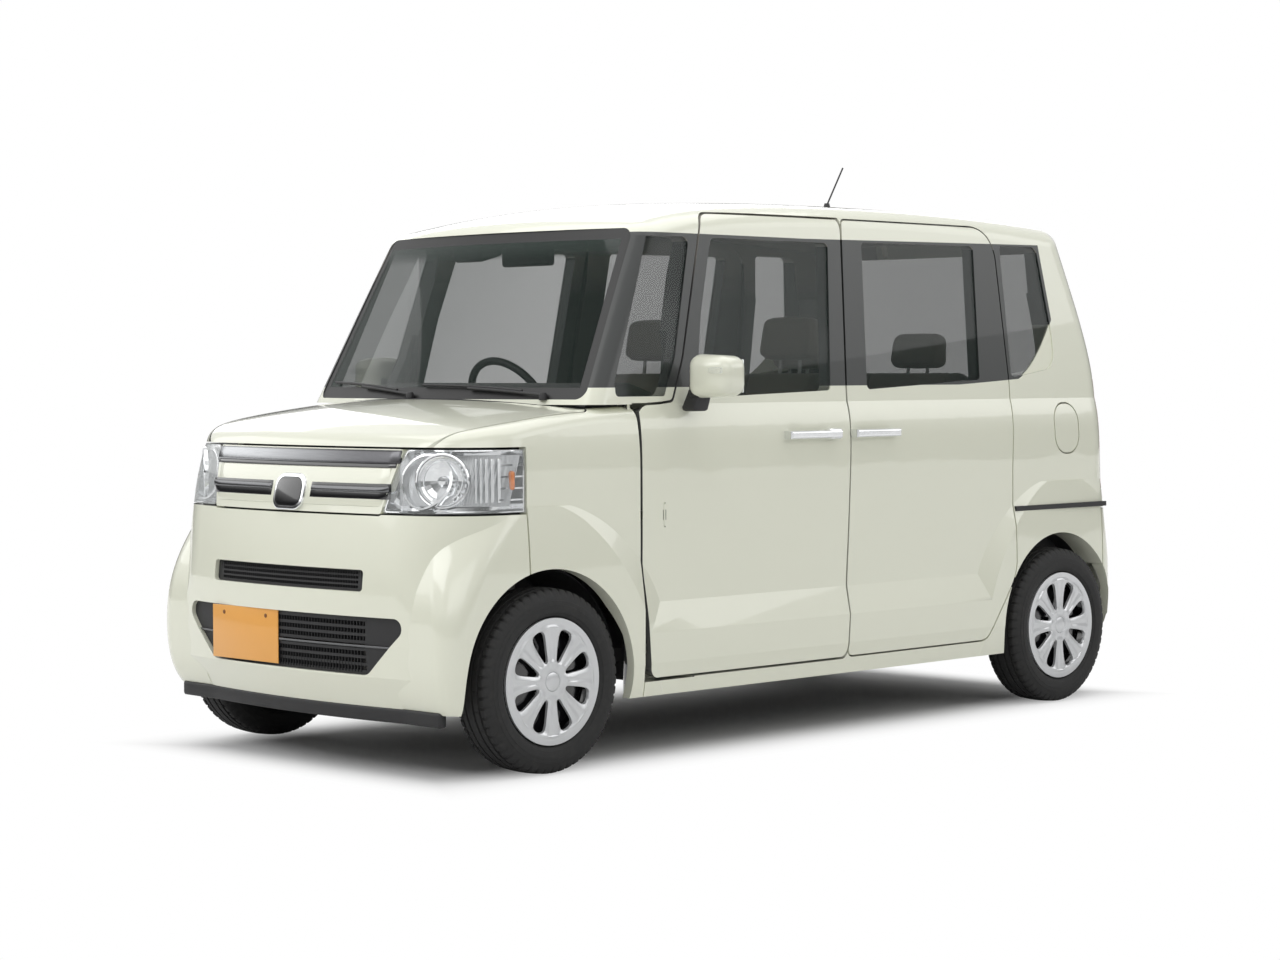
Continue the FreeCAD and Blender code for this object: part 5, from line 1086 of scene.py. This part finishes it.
class WAGON_OT_mirrors(bpy.types.Operator):
    """Door mirrors with painted caps, side lamps, dark feet and mirror glass"""
    bl_idname = "wagon.mirrors"
    bl_label = "Door mirrors"

    def execute(self, context):
        for side, sign in SIDES.items():
            node, body = "door_mirror_" + side, "front_door_" + side
            low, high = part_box("door_mirror_left")
            centre = Vector(((low.x + high.x) / 2 - 0.018, high.y - CAP_SIZE[1] / 2, high.z - 0.044))
            cap = block(CAP_SIZE)
            rounded(cap, cap.edges[:], 0.040, 5)
            for vert in cap.verts:
                outward = (vert.co.y + CAP_SIZE[1] / 2) / CAP_SIZE[1]
                vert.co.z *= 1.0 - 0.14 * outward ** 2
                vert.co.x *= 1.0 - 0.22 * outward ** 2
            moved(cap, centre)
            rim = bmesh.ops.bisect_plane(cap, geom=cap.verts[:] + cap.edges[:] + cap.faces[:],
                                         plane_co=(centre.x - CAP_OPENING, 0, 0), plane_no=(-1, 0, 0),
                                         clear_outer=True)
            loop = [item for item in rim["geom_cut"] if isinstance(item, bmesh.types.BMEdge)]
            grown = bmesh.ops.extrude_edge_only(cap, edges=loop)["geom"]
            inner = [item for item in grown if isinstance(item, bmesh.types.BMVert)]
            for vert in inner:
                away = vert.co - centre
                vert.co = Vector((vert.co.x + 0.001, centre.y + away.y * 0.93, centre.z + away.z * 0.90))
            deep = [item for item in grown if isinstance(item, bmesh.types.BMEdge) and item.is_boundary]
            grown = bmesh.ops.extrude_edge_only(cap, edges=deep)["geom"]
            for item in grown:
                if isinstance(item, bmesh.types.BMVert):
                    item.co.x += 0.012
            bmesh.ops.contextual_create(cap, geom=[e for e in cap.edges if e.is_boundary])
            sound(cap)
            glass = slab((0.003, 0.136, 0.102), centre + Vector((-0.045, -0.002, 0)), 0.0012, 2)
            lamp_spot = centre + Vector((0.055, 0.030, 0.018))
            lamp = turned(slab((0.014, 0.086, 0.020), lamp_spot, 0.006, 3), math.radians(-9), "Z", lamp_spot)
            foot = block(FOOT_SIZE)
            rounded(foot, foot.edges[:], 0.012, 3)
            for vert in foot.verts:
                vert.co.x *= 0.8 if vert.co.z > 0 else 1.0
                vert.co.y += 0.012 if vert.co.z > 0 else -0.008
            moved(foot, (low.x + 0.050, 0.742, low.z + 0.034))
            strip = slab((0.080, 0.046, 0.070), centre + Vector((0.010, -0.0600, -0.034)), 0.014, 4)
            pieces = [("mirror_cap_", cap, "panel_paint", "body_paint", [node]),
                      ("mirror_glass_", glass, "mirror_face", "bright_trim", []),
                      ("mirror_lamp_", lamp, "lens_clear", "lamp_lens", []),
                      ("mirror_foot_", gathered([foot, strip]), "black_moulding", "black_plastic", [])]
            for name, mesh, finish_name, slot, stands_for in pieces:
                if sign < 0:
                    flipped(mesh)
                piece(name + side, mesh, finish_name, body, replaces=stands_for)
        return {"FINISHED"}


# Distance of the arms from the windscreen, and root and tip of each wiper as (Y, Z)
WIPER_OUT = 0.016
WIPER_ENDS = [((0.50, 1.128), (-0.02, 1.152)), ((-0.06, 1.128), (-0.55, 1.160))]


class WAGON_OT_wipers(bpy.types.Operator):
    """Windscreen wipers on their pivots"""
    bl_idname = "wagon.wipers"
    bl_label = "Wipers"

    def execute(self, context):
        for number, (root, tip) in enumerate(WIPER_ENDS):
            line = []
            for i in range(13):
                share = i / 12
                y = root[0] + (tip[0] - root[0]) * share
                z = root[1] + (tip[1] - root[1]) * share + 0.006 * math.sin(math.pi * share)
                line.append(Vector((front_of(["windscreen"], y, z) + WIPER_OUT, y, z)))
            arm = pipe(line[:8], 0.0048, 8)
            blade = pipe([point - Vector((0.008, 0, -0.006)) for point in line[2:]], 0.0042, 8)
            pivot = spun([(0.0002, 0.008), (0.010, 0.007), (0.013, 0.0), (0.013, -0.016), (0.0002, -0.016)],
                         24, "Z")
            moved(pivot, line[0])
            piece("wiper_%d" % (number + 1), gathered([arm, blade, pivot]), "black_moulding", "car_body")
        return {"FINISHED"}


class WAGON_OT_rear(bpy.types.Operator):
    """Hatch garnish and grip, wiper, stop lamp and bumper reflectors"""
    bl_idname = "wagon.rear"
    bl_label = "Rear fittings"

    def execute(self, context):
        garnish = wrapped(slab((0.014, 0.640, 0.034), (0, 0, 0.952), 0.005), ["tailgate"], 0.002, 18, rear_of)
        piece("hatch_garnish", garnish, "chrome", "tailgate")
        x = rear_of(["tailgate"], 0.0, 0.952)
        grip = slab((0.030, 0.130, 0.016), (x + 0.018, 0, 0.930), 0.005, 3)
        piece("hatch_grip", grip, "black_moulding", "tailgate")
        stop = wrapped(slab((0.008, 0.250, 0.020), (0, 0, 1.672), 0.003), ["tailgate"], 0.002, 12, rear_of)
        piece("stop_lamp", stop, "lamp_red", "tailgate")
        arm_line = []
        for i in range(10):
            share = i / 9
            y, z = -0.005 - 0.330 * share, 1.118 + 0.052 * share
            arm_line.append(Vector((rear_of(["tailgate", "tailgate_glass"], y, z) - 0.012, y, z)))
        arm = pipe(arm_line[:7], 0.0055, 10)
        blade = pipe([spot + Vector((0.004, 0, 0.006)) for spot in arm_line[2:]], 0.0042, 8)
        pivot = spun([(0.0002, 0.012), (0.014, 0.011), (0.019, 0.004), (0.020, -0.010), (0.0002, -0.010)],
                     28, "X")
        turned(pivot, math.pi, "Z")
        moved(pivot, arm_line[0] + Vector((0.004, 0, 0)))
        piece("rear_wiper", gathered([arm, blade, pivot]), "black_moulding", "tailgate")
        reflectors = []
        for sign in (1, -1):
            for y in (0.480, 0.538):
                strip = slab((0.006, 0.060, 0.030), (0, 0, 0.430), 0.0025)
                moved(strip, (0, sign * y, 0))
                reflectors.append(wrapped(strip, ["rear_bumper"], 0.001, 3, rear_of))
        piece("bumper_reflectors", gathered(reflectors), "lamp_red", "car_body")
        return {"FINISHED"}


class WAGON_OT_handles(bpy.types.Operator):
    """Key caps at the ends of the door handles"""
    bl_idname = "wagon.handles"
    bl_label = "Door handles"

    def execute(self, context):
        for side, sign in SIDES.items():
            low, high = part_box("front_handle_left")
            middle = (low + high) / 2
            cap = slab((0.060, 0.030, 0.036), (low.x + 0.030, high.y - 0.017, middle.z + 0.001), 0.009, 4)
            hole = spun([(0.0002, 0.0018), (0.0052, 0.0016), (0.0060, 0.0004), (0.0060, -0.002),
                         (0.0002, -0.002)], 24)
            moved(hole, (low.x + 0.016, high.y - 0.0024, middle.z + 0.001))
            for name, mesh, finish_name in (("key_cap_", cap, "chrome"), ("key_hole_", hole, "gloss_black")):
                if sign < 0:
                    flipped(mesh)
                piece(name + side, mesh, finish_name, "front_door_" + side)
        return {"FINISHED"}


# Cabin

STEER_CENTRE = Vector((0.4405, -0.330, 1.074))
STEER_COLUMN = Vector((0.891, 0.0, -0.454)).normalized()
STEER_RADIUS = 0.182


def on_column(mesh):
    """Turn a mesh drawn with its face toward +Z and its top toward +Y onto the steering column."""
    across = Vector((0, -1, 0))
    upward = STEER_COLUMN.cross(Vector((0, 1, 0)))
    turn = Matrix((across, upward, -STEER_COLUMN)).transposed()
    bmesh.ops.rotate(mesh, verts=mesh.verts, matrix=turn)
    return moved(mesh, STEER_CENTRE)


class WAGON_OT_steering(bpy.types.Operator):
    """Steering wheel with a moulded grip, three spokes and a plain centre pad"""
    bl_idname = "wagon.steering"
    bl_label = "Steering wheel"

    def execute(self, context):
        ring = [(STEER_RADIUS + 0.0135 * math.cos(math.tau * i / 14), 0.0135 * math.sin(math.tau * i / 14))
                for i in range(14)]
        grip = on_column(spun(ring, 72, "Z"))
        hub_shell = spun([(0.0002, -0.030), (0.050, -0.030), (0.055, -0.020), (0.052, -0.004),
                          (0.0002, -0.002)], 32, "Z")
        shaft = spun([(0.0002, -0.128), (0.0116, -0.128), (0.0116, -0.028), (0.0002, -0.028)], 20, "Z")
        spokes = []
        for angle in (0.0, math.pi, -math.pi / 2):
            spoke = slab((0.130, 0.036, 0.016), (0.112, 0, -0.008), 0.006, 3)
            for vert in spoke.verts:
                vert.co.y *= 1.35 - 3.2 * (vert.co.x - 0.05)
            spokes.append(turned(spoke, angle, "Z"))
        frame_part = on_column(gathered([hub_shell, shaft] + spokes))
        piece("steering_grip", grip, "black_moulding", "steering_wheel",
              replaces=["steering_wheel"])
        piece("steering_spokes", frame_part, "cabin_plastic", "steering_wheel")
        pad = slab((0.150, 0.122, 0.036), (0, -0.006, 0.004), 0.016, 4)
        for vert in pad.verts:
            vert.co.x *= 1.0 + 1.4 * vert.co.y
        piece("steering_pad", on_column(pad), "cabin_plastic", "steering_wheel")
        return {"FINISHED"}


def vent(y, z, width, height):
    """A louvred outlet in the dashboard's rear face."""
    x = rear_of(["dashboard"], y, z)
    rim = slab((0.010, width, height), (x, y, z), 0.004, 2)
    blades = [slab((0.012, width * 0.84, 0.003), (x - 0.003, y, z + height * (i - 2) * 0.17), 0.001, 1)
              for i in range(5)]
    return rim, blades


class WAGON_OT_dashboard(bpy.types.Operator):
    """Vents, centre panel with dials and screen, and glove box lid with its latch on the dashboard"""
    bl_idname = "wagon.dashboard"
    bl_label = "Dashboard"

    def execute(self, context):
        rims, blades = [], []
        for y in (-0.505, -0.120, 0.120, 0.505):
            rim, slats = vent(y, 1.085, 0.098, 0.062)
            rims.append(rim)
            blades += slats
        piece("vent_rims", gathered(rims), "gloss_black", "car_body")
        piece("vent_blades", gathered(blades), "cabin_plastic", "car_body", False)
        x = rear_of(["dashboard"], 0.0, 0.98)
        panel = slab((0.012, 0.240, 0.150), (x - 0.001, 0, 0.975), 0.006, 3)
        profile = [(0.0002, 0.014), (0.017, 0.013), (0.020, 0.010), (0.021, 0.0), (0.0002, 0.0)]
        dials = [moved(turned(spun(profile, 32, "X"), math.pi, "Z"), (x - 0.006, (i - 1) * 0.070, 0.930))
                 for i in range(3)]
        screen = slab((0.004, 0.170, 0.072), (x - 0.008, 0, 1.000), 0.0015, 2)
        piece("centre_panel", panel, "gloss_black", "car_body")
        piece("centre_screen", screen, "gloss_black", "car_body")
        piece("centre_dials", gathered(dials), "satin_chrome", "car_body")
        lid_x = rear_of(["dashboard"], 0.34, 0.93)
        lid = slab((0.012, 0.330, 0.120), (lid_x, 0.33, 0.935), 0.005, 3)
        latch = slab((0.010, 0.060, 0.018), (lid_x - 0.008, 0.33, 0.975), 0.004, 2)
        piece("glove_lid", gathered([lid, latch]), "cabin_plastic", "car_body")
        return {"FINISHED"}


class WAGON_OT_overhead(bpy.types.Operator):
    """Driving mirror and the sensor housing beside it"""
    bl_idname = "wagon.overhead"
    bl_label = "Overhead fittings"

    def execute(self, context):
        low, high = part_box("inner_mirror")
        middle = (low + high) / 2
        shell = slab((0.030, 0.236, 0.064), middle, 0.013, 4)
        glass = slab((0.003, 0.216, 0.048), middle - Vector((0.0150, 0, 0)), 0.0012, 2)
        for mesh in (shell, glass):
            for vert in mesh.verts:
                vert.co.z -= 0.5 * (vert.co.y - middle.y) ** 2
        stem = pipe([middle + Vector((0.004, 0, 0.024)), middle + Vector((0.012, 0, 0.050)),
                     middle + Vector((0.010, 0, 0.078))], 0.009, 16)
        piece("inner_mirror_shell", gathered([shell, stem]), "black_moulding", "car_body",
              replaces=["inner_mirror"])
        piece("inner_mirror_glass", glass, "mirror_face", "car_body")
        sensor = slab((0.110, 0.150, 0.052), (0.598, -0.320, 1.588), 0.020, 4)
        for vert in sensor.verts:
            vert.co.z += 0.25 * (0.66 - vert.co.x)
        piece("sensor_housing", sensor, "black_moulding", "car_body")
        return {"FINISHED"}


# Seats: each pad is drawn about its own middle, +X ahead and +Z out of the sitting face of a cushion

PAD_VOXEL = 0.006
PAD_FRAMES = 20
# How near a seam the cover is held, how far a seam draws in, and over what width
SEAM_PITCH = 0.0065
SEAM_DEPTH = 0.0035
SEAM_WIDTH = 0.006


def rounded_pad(size, radius, taper):
    """A rounded block whose far end is narrower by a share of its width."""
    mesh = slab(size, (0, 0, 0), radius, 4)
    for vert in mesh.verts:
        along = vert.co.z / size[2] + 0.5
        vert.co.y *= 1.0 - taper * along ** 2
    return mesh


def modelled(made):
    """The mesh of an object with its modifiers worked in."""
    graph = bpy.context.evaluated_depsgraph_get()
    return bpy.data.meshes.new_from_object(made.evaluated_get(graph), preserve_all_data_layers=False,
                                           depsgraph=graph)


def stuffed(name, mesh, seams, limit):
    """A pad's cover, swollen between its seams by a cloth simulation, as a mesh."""
    scene = bpy.context.scene
    data = bpy.data.meshes.new(name)
    mesh.to_mesh(data)
    mesh.free()
    made = bpy.data.objects.new(name + "_cover", data)
    scene.collection.objects.link(made)
    remesh = made.modifiers.new("Remesh", "REMESH")
    remesh.mode = "VOXEL"
    remesh.voxel_size = PAD_VOXEL * 1
    made.data = modelled(made)
    made.modifiers.clear()
    start = [vert.co.copy() for vert in made.data.vertices]
    held = made.vertex_groups.new(name="seams")
    held.add([i for i, spot in enumerate(start) if seams(spot) < SEAM_PITCH], 1.0, "REPLACE")
    cloth = made.modifiers.new("Cloth", "CLOTH")
    cloth.settings.quality = 5
    cloth.settings.vertex_group_mass = "seams"
    cloth.settings.use_pressure = True
    cloth.settings.uniform_pressure_force = 4.0
    cloth.settings.effector_weights.gravity = 0.0
    cloth.point_cache.frame_start = 1
    cloth.point_cache.frame_end = PAD_FRAMES
    for moment in range(1, PAD_FRAMES + 1):
        scene.frame_set(moment)
    swollen = modelled(made)
    made.modifiers.clear()
    made.data = swollen
    scene.frame_set(1)
    for vert, spot in zip(made.data.vertices, start):
        shift = vert.co - spot
        if shift.length > limit:
            shift = shift * (limit / shift.length)
        vert.co = spot + shift
    for vert in made.data.vertices:
        near = seams(start[vert.index])
        vert.co -= vert.normal * SEAM_DEPTH * math.exp(-(near / SEAM_WIDTH) ** 2)
    cover = made.data
    bpy.data.objects.remove(made)
    return cover


def set_pad(name, cover, tilt, centre, replaces=(), bolster=None):
    """Place a copy of a pad's cover and give its sides the darker cloth."""
    mesh = bmesh.new()
    mesh.from_mesh(cover)
    if bolster:
        for item in mesh.faces:
            item.material_index = int(abs(item.calc_center_median().y) > bolster)
    turned(mesh, math.radians(tilt), "Y")
    moved(mesh, centre)
    made = piece(name, mesh, "woven_cloth", "car_body", replaces=replaces)
    made.data.materials.append(finish("bolster_cloth"))
    return made


def panel_seams(half, lines, axis):
    """Distance to the nearest sewn line: one down each side, and some across the panel between them."""
    def away(spot):
        across = min(abs(spot[axis] - line) for line in lines) if abs(spot.y) < half else 1.0
        return min(abs(abs(spot.y) - half), across)
    return away


def edge_seam(level):
    """Distance to the seam that runs round a pad's edge."""
    return lambda spot: abs(spot.x - level)


# Tilts in degrees of cushion, back and headrest, and the height at which a base ends below its cushion
CUSHION_TILT = -6.0
BACK_TILT = -14.0
REST_TILT = -8.0
BASE_TOP = 0.545
SIDE_PANEL = 0.095
BACK_NARROWER = 0.012
SEAT_ROWS = {
    "front": {"x": 0.0, "y": 0.33, "width": 0.50, "headrest": ((-0.262, 1.310), (0.084, 0.244, 0.144))},
    "rear": {"x": -0.74, "y": 0.29, "width": 0.57, "headrest": ((-1.002, 1.270), (0.074, 0.234, 0.124))},
}


class WAGON_OT_seats(bpy.types.Operator):
    """Sewn cushions, backs and headrests on their posts and bases"""
    bl_idname = "wagon.seats"
    bl_label = "Seats"

    def execute(self, context):
        for row, facts in SEAT_ROWS.items():
            width, shift = facts["width"], facts["x"]
            half = width / 2 - SIDE_PANEL
            base = stuffed(row + "_base", rounded_pad((0.445, width - 0.030, 0.098), 0.036, 0.0),
                           panel_seams(half, (-0.09, 0.06), 0), 0.014)
            back = stuffed(row + "_back", rounded_pad((0.086, width - 0.030, 0.560), 0.034, 0.10),
                           panel_seams(half - BACK_NARROWER, (-0.10, 0.10), 2), 0.014)
            (rest_x, rest_z), rest_size = facts["headrest"]
            rest = stuffed(row + "_rest", rounded_pad(rest_size, 0.030, 0.10), edge_seam(0.022), 0.008)
            for side, sign in SIDES.items():
                y = sign * facts["y"]
                name = "%s_%s" % (row, side)
                stands_for = [row + "_seats"] if side == "left" else []
                set_pad("cushion_" + name, base, CUSHION_TILT, (0.105 + shift, y, 0.616), stands_for, half)
                set_pad("backrest_" + name, back, BACK_TILT, (-0.172 + shift, y, 0.916), (),
                        half - BACK_NARROWER)
                set_pad("headrest_" + name, rest, REST_TILT, (rest_x, y, rest_z))
                self.stand(row, name, shift, y, width, rest_x, rest_z - rest_size[2] / 2)
            for cover in (base, back, rest):
                bpy.data.meshes.remove(cover)
        return {"FINISHED"}

    def stand(self, row, name, shift, y, width, rest_x, rest_foot):
        """The base, its rails and the headrest's two posts."""
        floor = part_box(row + "_seats")[0].z
        long, wide = (0.36, 0.38) if row == "front" else (0.31, 0.46)
        middle = 0.09 + shift
        box = slab((long, wide, BASE_TOP - floor - 0.050), (middle, y, (BASE_TOP + floor + 0.030) / 2), 0.018,
                   3)
        for vert in box.verts:
            if vert.co.z > 0.45:
                vert.co.x = middle + (vert.co.x - middle) * 0.92
        rails = [slab((long, 0.034, 0.024), (middle, y + sign * (wide / 2 - 0.045), floor + 0.013), 0.005, 2)
                 for sign in (1, -1)]
        piece("seat_base_" + name, box, "cabin_plastic", "car_body")
        posts = [pipe([Vector((rest_x + 0.012, y + sign * 0.045, rest_foot - 0.075)),
                       Vector((rest_x + 0.004, y + sign * 0.045, rest_foot + 0.02))], 0.0062, 16)
                 for sign in (1, -1)]
        piece("seat_metal_" + name, gathered(rails + posts), "bare_steel", "car_body")


# The camera fitted to the photograph: focal length in pixels of a frame 1280 wide, place, aim and roll
FOCAL = 2767.0
FRAME_WIDTH = 1280.0
SENSOR = 36.0
EYE = Vector((6.858, 6.693, 1.199))
AIM = Vector((0.0, -0.147, 0.819))
ROLL = -0.0032


class WAGON_OT_studio(bpy.types.Operator):
    """Pale floor, soft lamps and the camera at the photograph's angle"""
    bl_idname = "wagon.studio"
    bl_label = "Studio"
    bl_options = {"REGISTER", "UNDO"}

    def execute(self, context):
        light = context.scene.wagon_light
        self.floor()
        self.world(light.sky)
        self.lamp("overhead", (0.3, 0.4, 5.2), (0, 0, 0.6), (7.5, 5.5), light.top)
        self.lamp("ahead", (7.0, -1.0, 5.2), (1.2, 0, 0.8), (5.0, 3.0), light.front)
        for x in (6.5, -6.5):
            for y in (8.0, -8.0):
                self.lamp("corner", (x, y, 4.9), (0, 0, 1.2), (10.0, 4.2), light.side)
        self.camera(context)
        context.scene.view_settings.view_transform = "Standard"
        return {"FINISHED"}

    def floor(self):
        mesh = bmesh.new()
        bmesh.ops.create_circle(mesh, cap_ends=True, segments=96, radius=60.0)
        data = bpy.data.meshes.new("studio_floor")
        mesh.to_mesh(data)
        mesh.free()
        made = bpy.data.objects.new("studio_floor", data)
        bpy.context.scene.collection.objects.link(made)
        ground = Finish("pale_floor", (0.86, 0.86, 0.86), 0.9)
        x, y, _ = ground.place()
        far = (x * x + y * y * 1.3).between(3.2, 14.0)
        # Painted shadow: the camera sees white glow away from the car, but inside this mask's soft edge round
        # the footprint it sees the plain lit floor, which is darker, so a soft shadow is painted round the
        # car on top of the real one.
        clear = abs(y).between(0.46, 0.92).most(abs(x).between(1.50, 1.80))
        glow = ground.node("ShaderNodeEmission", None, (1.0, 1.0, 1.0), 1.0)
        near = Signal(ground, ground.shader.outputs[0])
        path = ground.node("ShaderNodeLightPath")
        glow_past_painted_shadow = clear * path.most(path.part("Is Transmission Ray"))
        mirrored = far * path.part("Is Glossy Ray")
        blend = ground.node("ShaderNodeMixShader", None, glow_past_painted_shadow.most(mirrored), near, glow)
        out = ground.tree.nodes["Material Output"]
        ground.tree.links.new(blend.socket, out.inputs["Surface"])
        data.materials.append(ground.material)

    def world(self, strength):
        world = bpy.data.worlds.new("studio")
        world.use_nodes = True
        tree = world.node_tree
        back = tree.nodes["Background"]
        path = tree.nodes.new("ShaderNodeLightPath")
        seen = tree.nodes.new("ShaderNodeMath")
        seen.operation = "MAXIMUM"
        tree.links.new(path.outputs["Is Camera Ray"], seen.inputs[0])
        tree.links.new(path.outputs["Is Transmission Ray"], seen.inputs[1])
        way = tree.nodes.new("ShaderNodeSeparateXYZ")
        tree.links.new(tree.nodes.new("ShaderNodeTexCoord").outputs["Generated"], way.inputs[0])
        wall = tree.nodes.new("ShaderNodeMapRange")
        wall.interpolation_type = "SMOOTHSTEP"
        for name, value in (("From Min", 0.05), ("From Max", 0.24), ("To Min", 0.06), ("To Max", 0.85)):
            wall.inputs[name].default_value = value
        tree.links.new(way.outputs["Z"], wall.inputs["Value"])
        mirrored = tree.nodes.new("ShaderNodeMix")
        mirrored.inputs[2].default_value = strength
        tree.links.new(path.outputs["Is Glossy Ray"], mirrored.inputs[0])
        tree.links.new(wall.outputs["Result"], mirrored.inputs[3])
        level = tree.nodes.new("ShaderNodeMix")
        level.inputs[3].default_value = 1.0
        tree.links.new(seen.outputs[0], level.inputs[0])
        tree.links.new(mirrored.outputs[0], level.inputs[2])
        tree.links.new(level.outputs[0], back.inputs["Strength"])
        back.inputs["Color"].default_value = (1.0, 1.0, 1.0, 1.0)
        bpy.context.scene.world = world

    def lamp(self, name, spot, target, size, power):
        data = bpy.data.lights.new(name, "AREA")
        data.shape = "RECTANGLE"
        data.size, data.size_y = size
        data.energy = power
        made = bpy.data.objects.new(name, data)
        made.location = spot
        way = Vector(target) - Vector(spot)
        made.rotation_euler = way.to_track_quat("-Z", "Y").to_euler()
        bpy.context.scene.collection.objects.link(made)

    def camera(self, context):
        data = bpy.data.cameras.new("camera")
        data.sensor_width = SENSOR
        data.lens = FOCAL / FRAME_WIDTH * SENSOR
        data.clip_end = 200.0
        made = bpy.data.objects.new("camera", data)
        made.location = EYE
        aimed = (AIM - EYE).to_track_quat("-Z", "Y").to_matrix().to_4x4()
        made.rotation_mode = "QUATERNION"
        made.rotation_quaternion = (aimed @ Matrix.Rotation(ROLL, 4, "Z")).to_quaternion()
        context.scene.collection.objects.link(made)
        context.scene.camera = made


class WAGON_PT_panel(bpy.types.Panel):
    """Builds the car's pieces"""
    bl_idname = "WAGON_PT_panel"
    bl_label = "Small tall wagon"
    bl_space_type = "VIEW_3D"
    bl_region_type = "UI"
    bl_category = "Wagon"

    def draw(self, context):
        for group in (context.scene.wagon_look, context.scene.wagon_light):
            for key in group.__annotations__:
                self.layout.prop(group, key)
        for step in STEPS:
            self.layout.operator(step.bl_idname)


STEPS = [WAGON_OT_finishes, WAGON_OT_tyres, WAGON_OT_wheels, WAGON_OT_headlamps, WAGON_OT_grille,
         WAGON_OT_intakes, WAGON_OT_mirrors, WAGON_OT_wipers, WAGON_OT_handles, WAGON_OT_rear,
         WAGON_OT_steering, WAGON_OT_dashboard, WAGON_OT_overhead, WAGON_OT_seats, WAGON_OT_studio]
CLASSES = [WagonLook, WagonLight, *STEPS, WAGON_PT_panel]


def register():
    for item in CLASSES:
        bpy.utils.register_class(item)
    bpy.types.Scene.wagon_look = PointerProperty(type=WagonLook)
    bpy.types.Scene.wagon_light = PointerProperty(type=WagonLight)


def unregister():
    del bpy.types.Scene.wagon_light
    del bpy.types.Scene.wagon_look
    for item in reversed(CLASSES):
        bpy.utils.unregister_class(item)


def main():
    register()
    for step in STEPS:
        group, name = step.bl_idname.split(".")
        getattr(getattr(bpy.ops, group), name)()


if __name__ == "__main__":
    main()
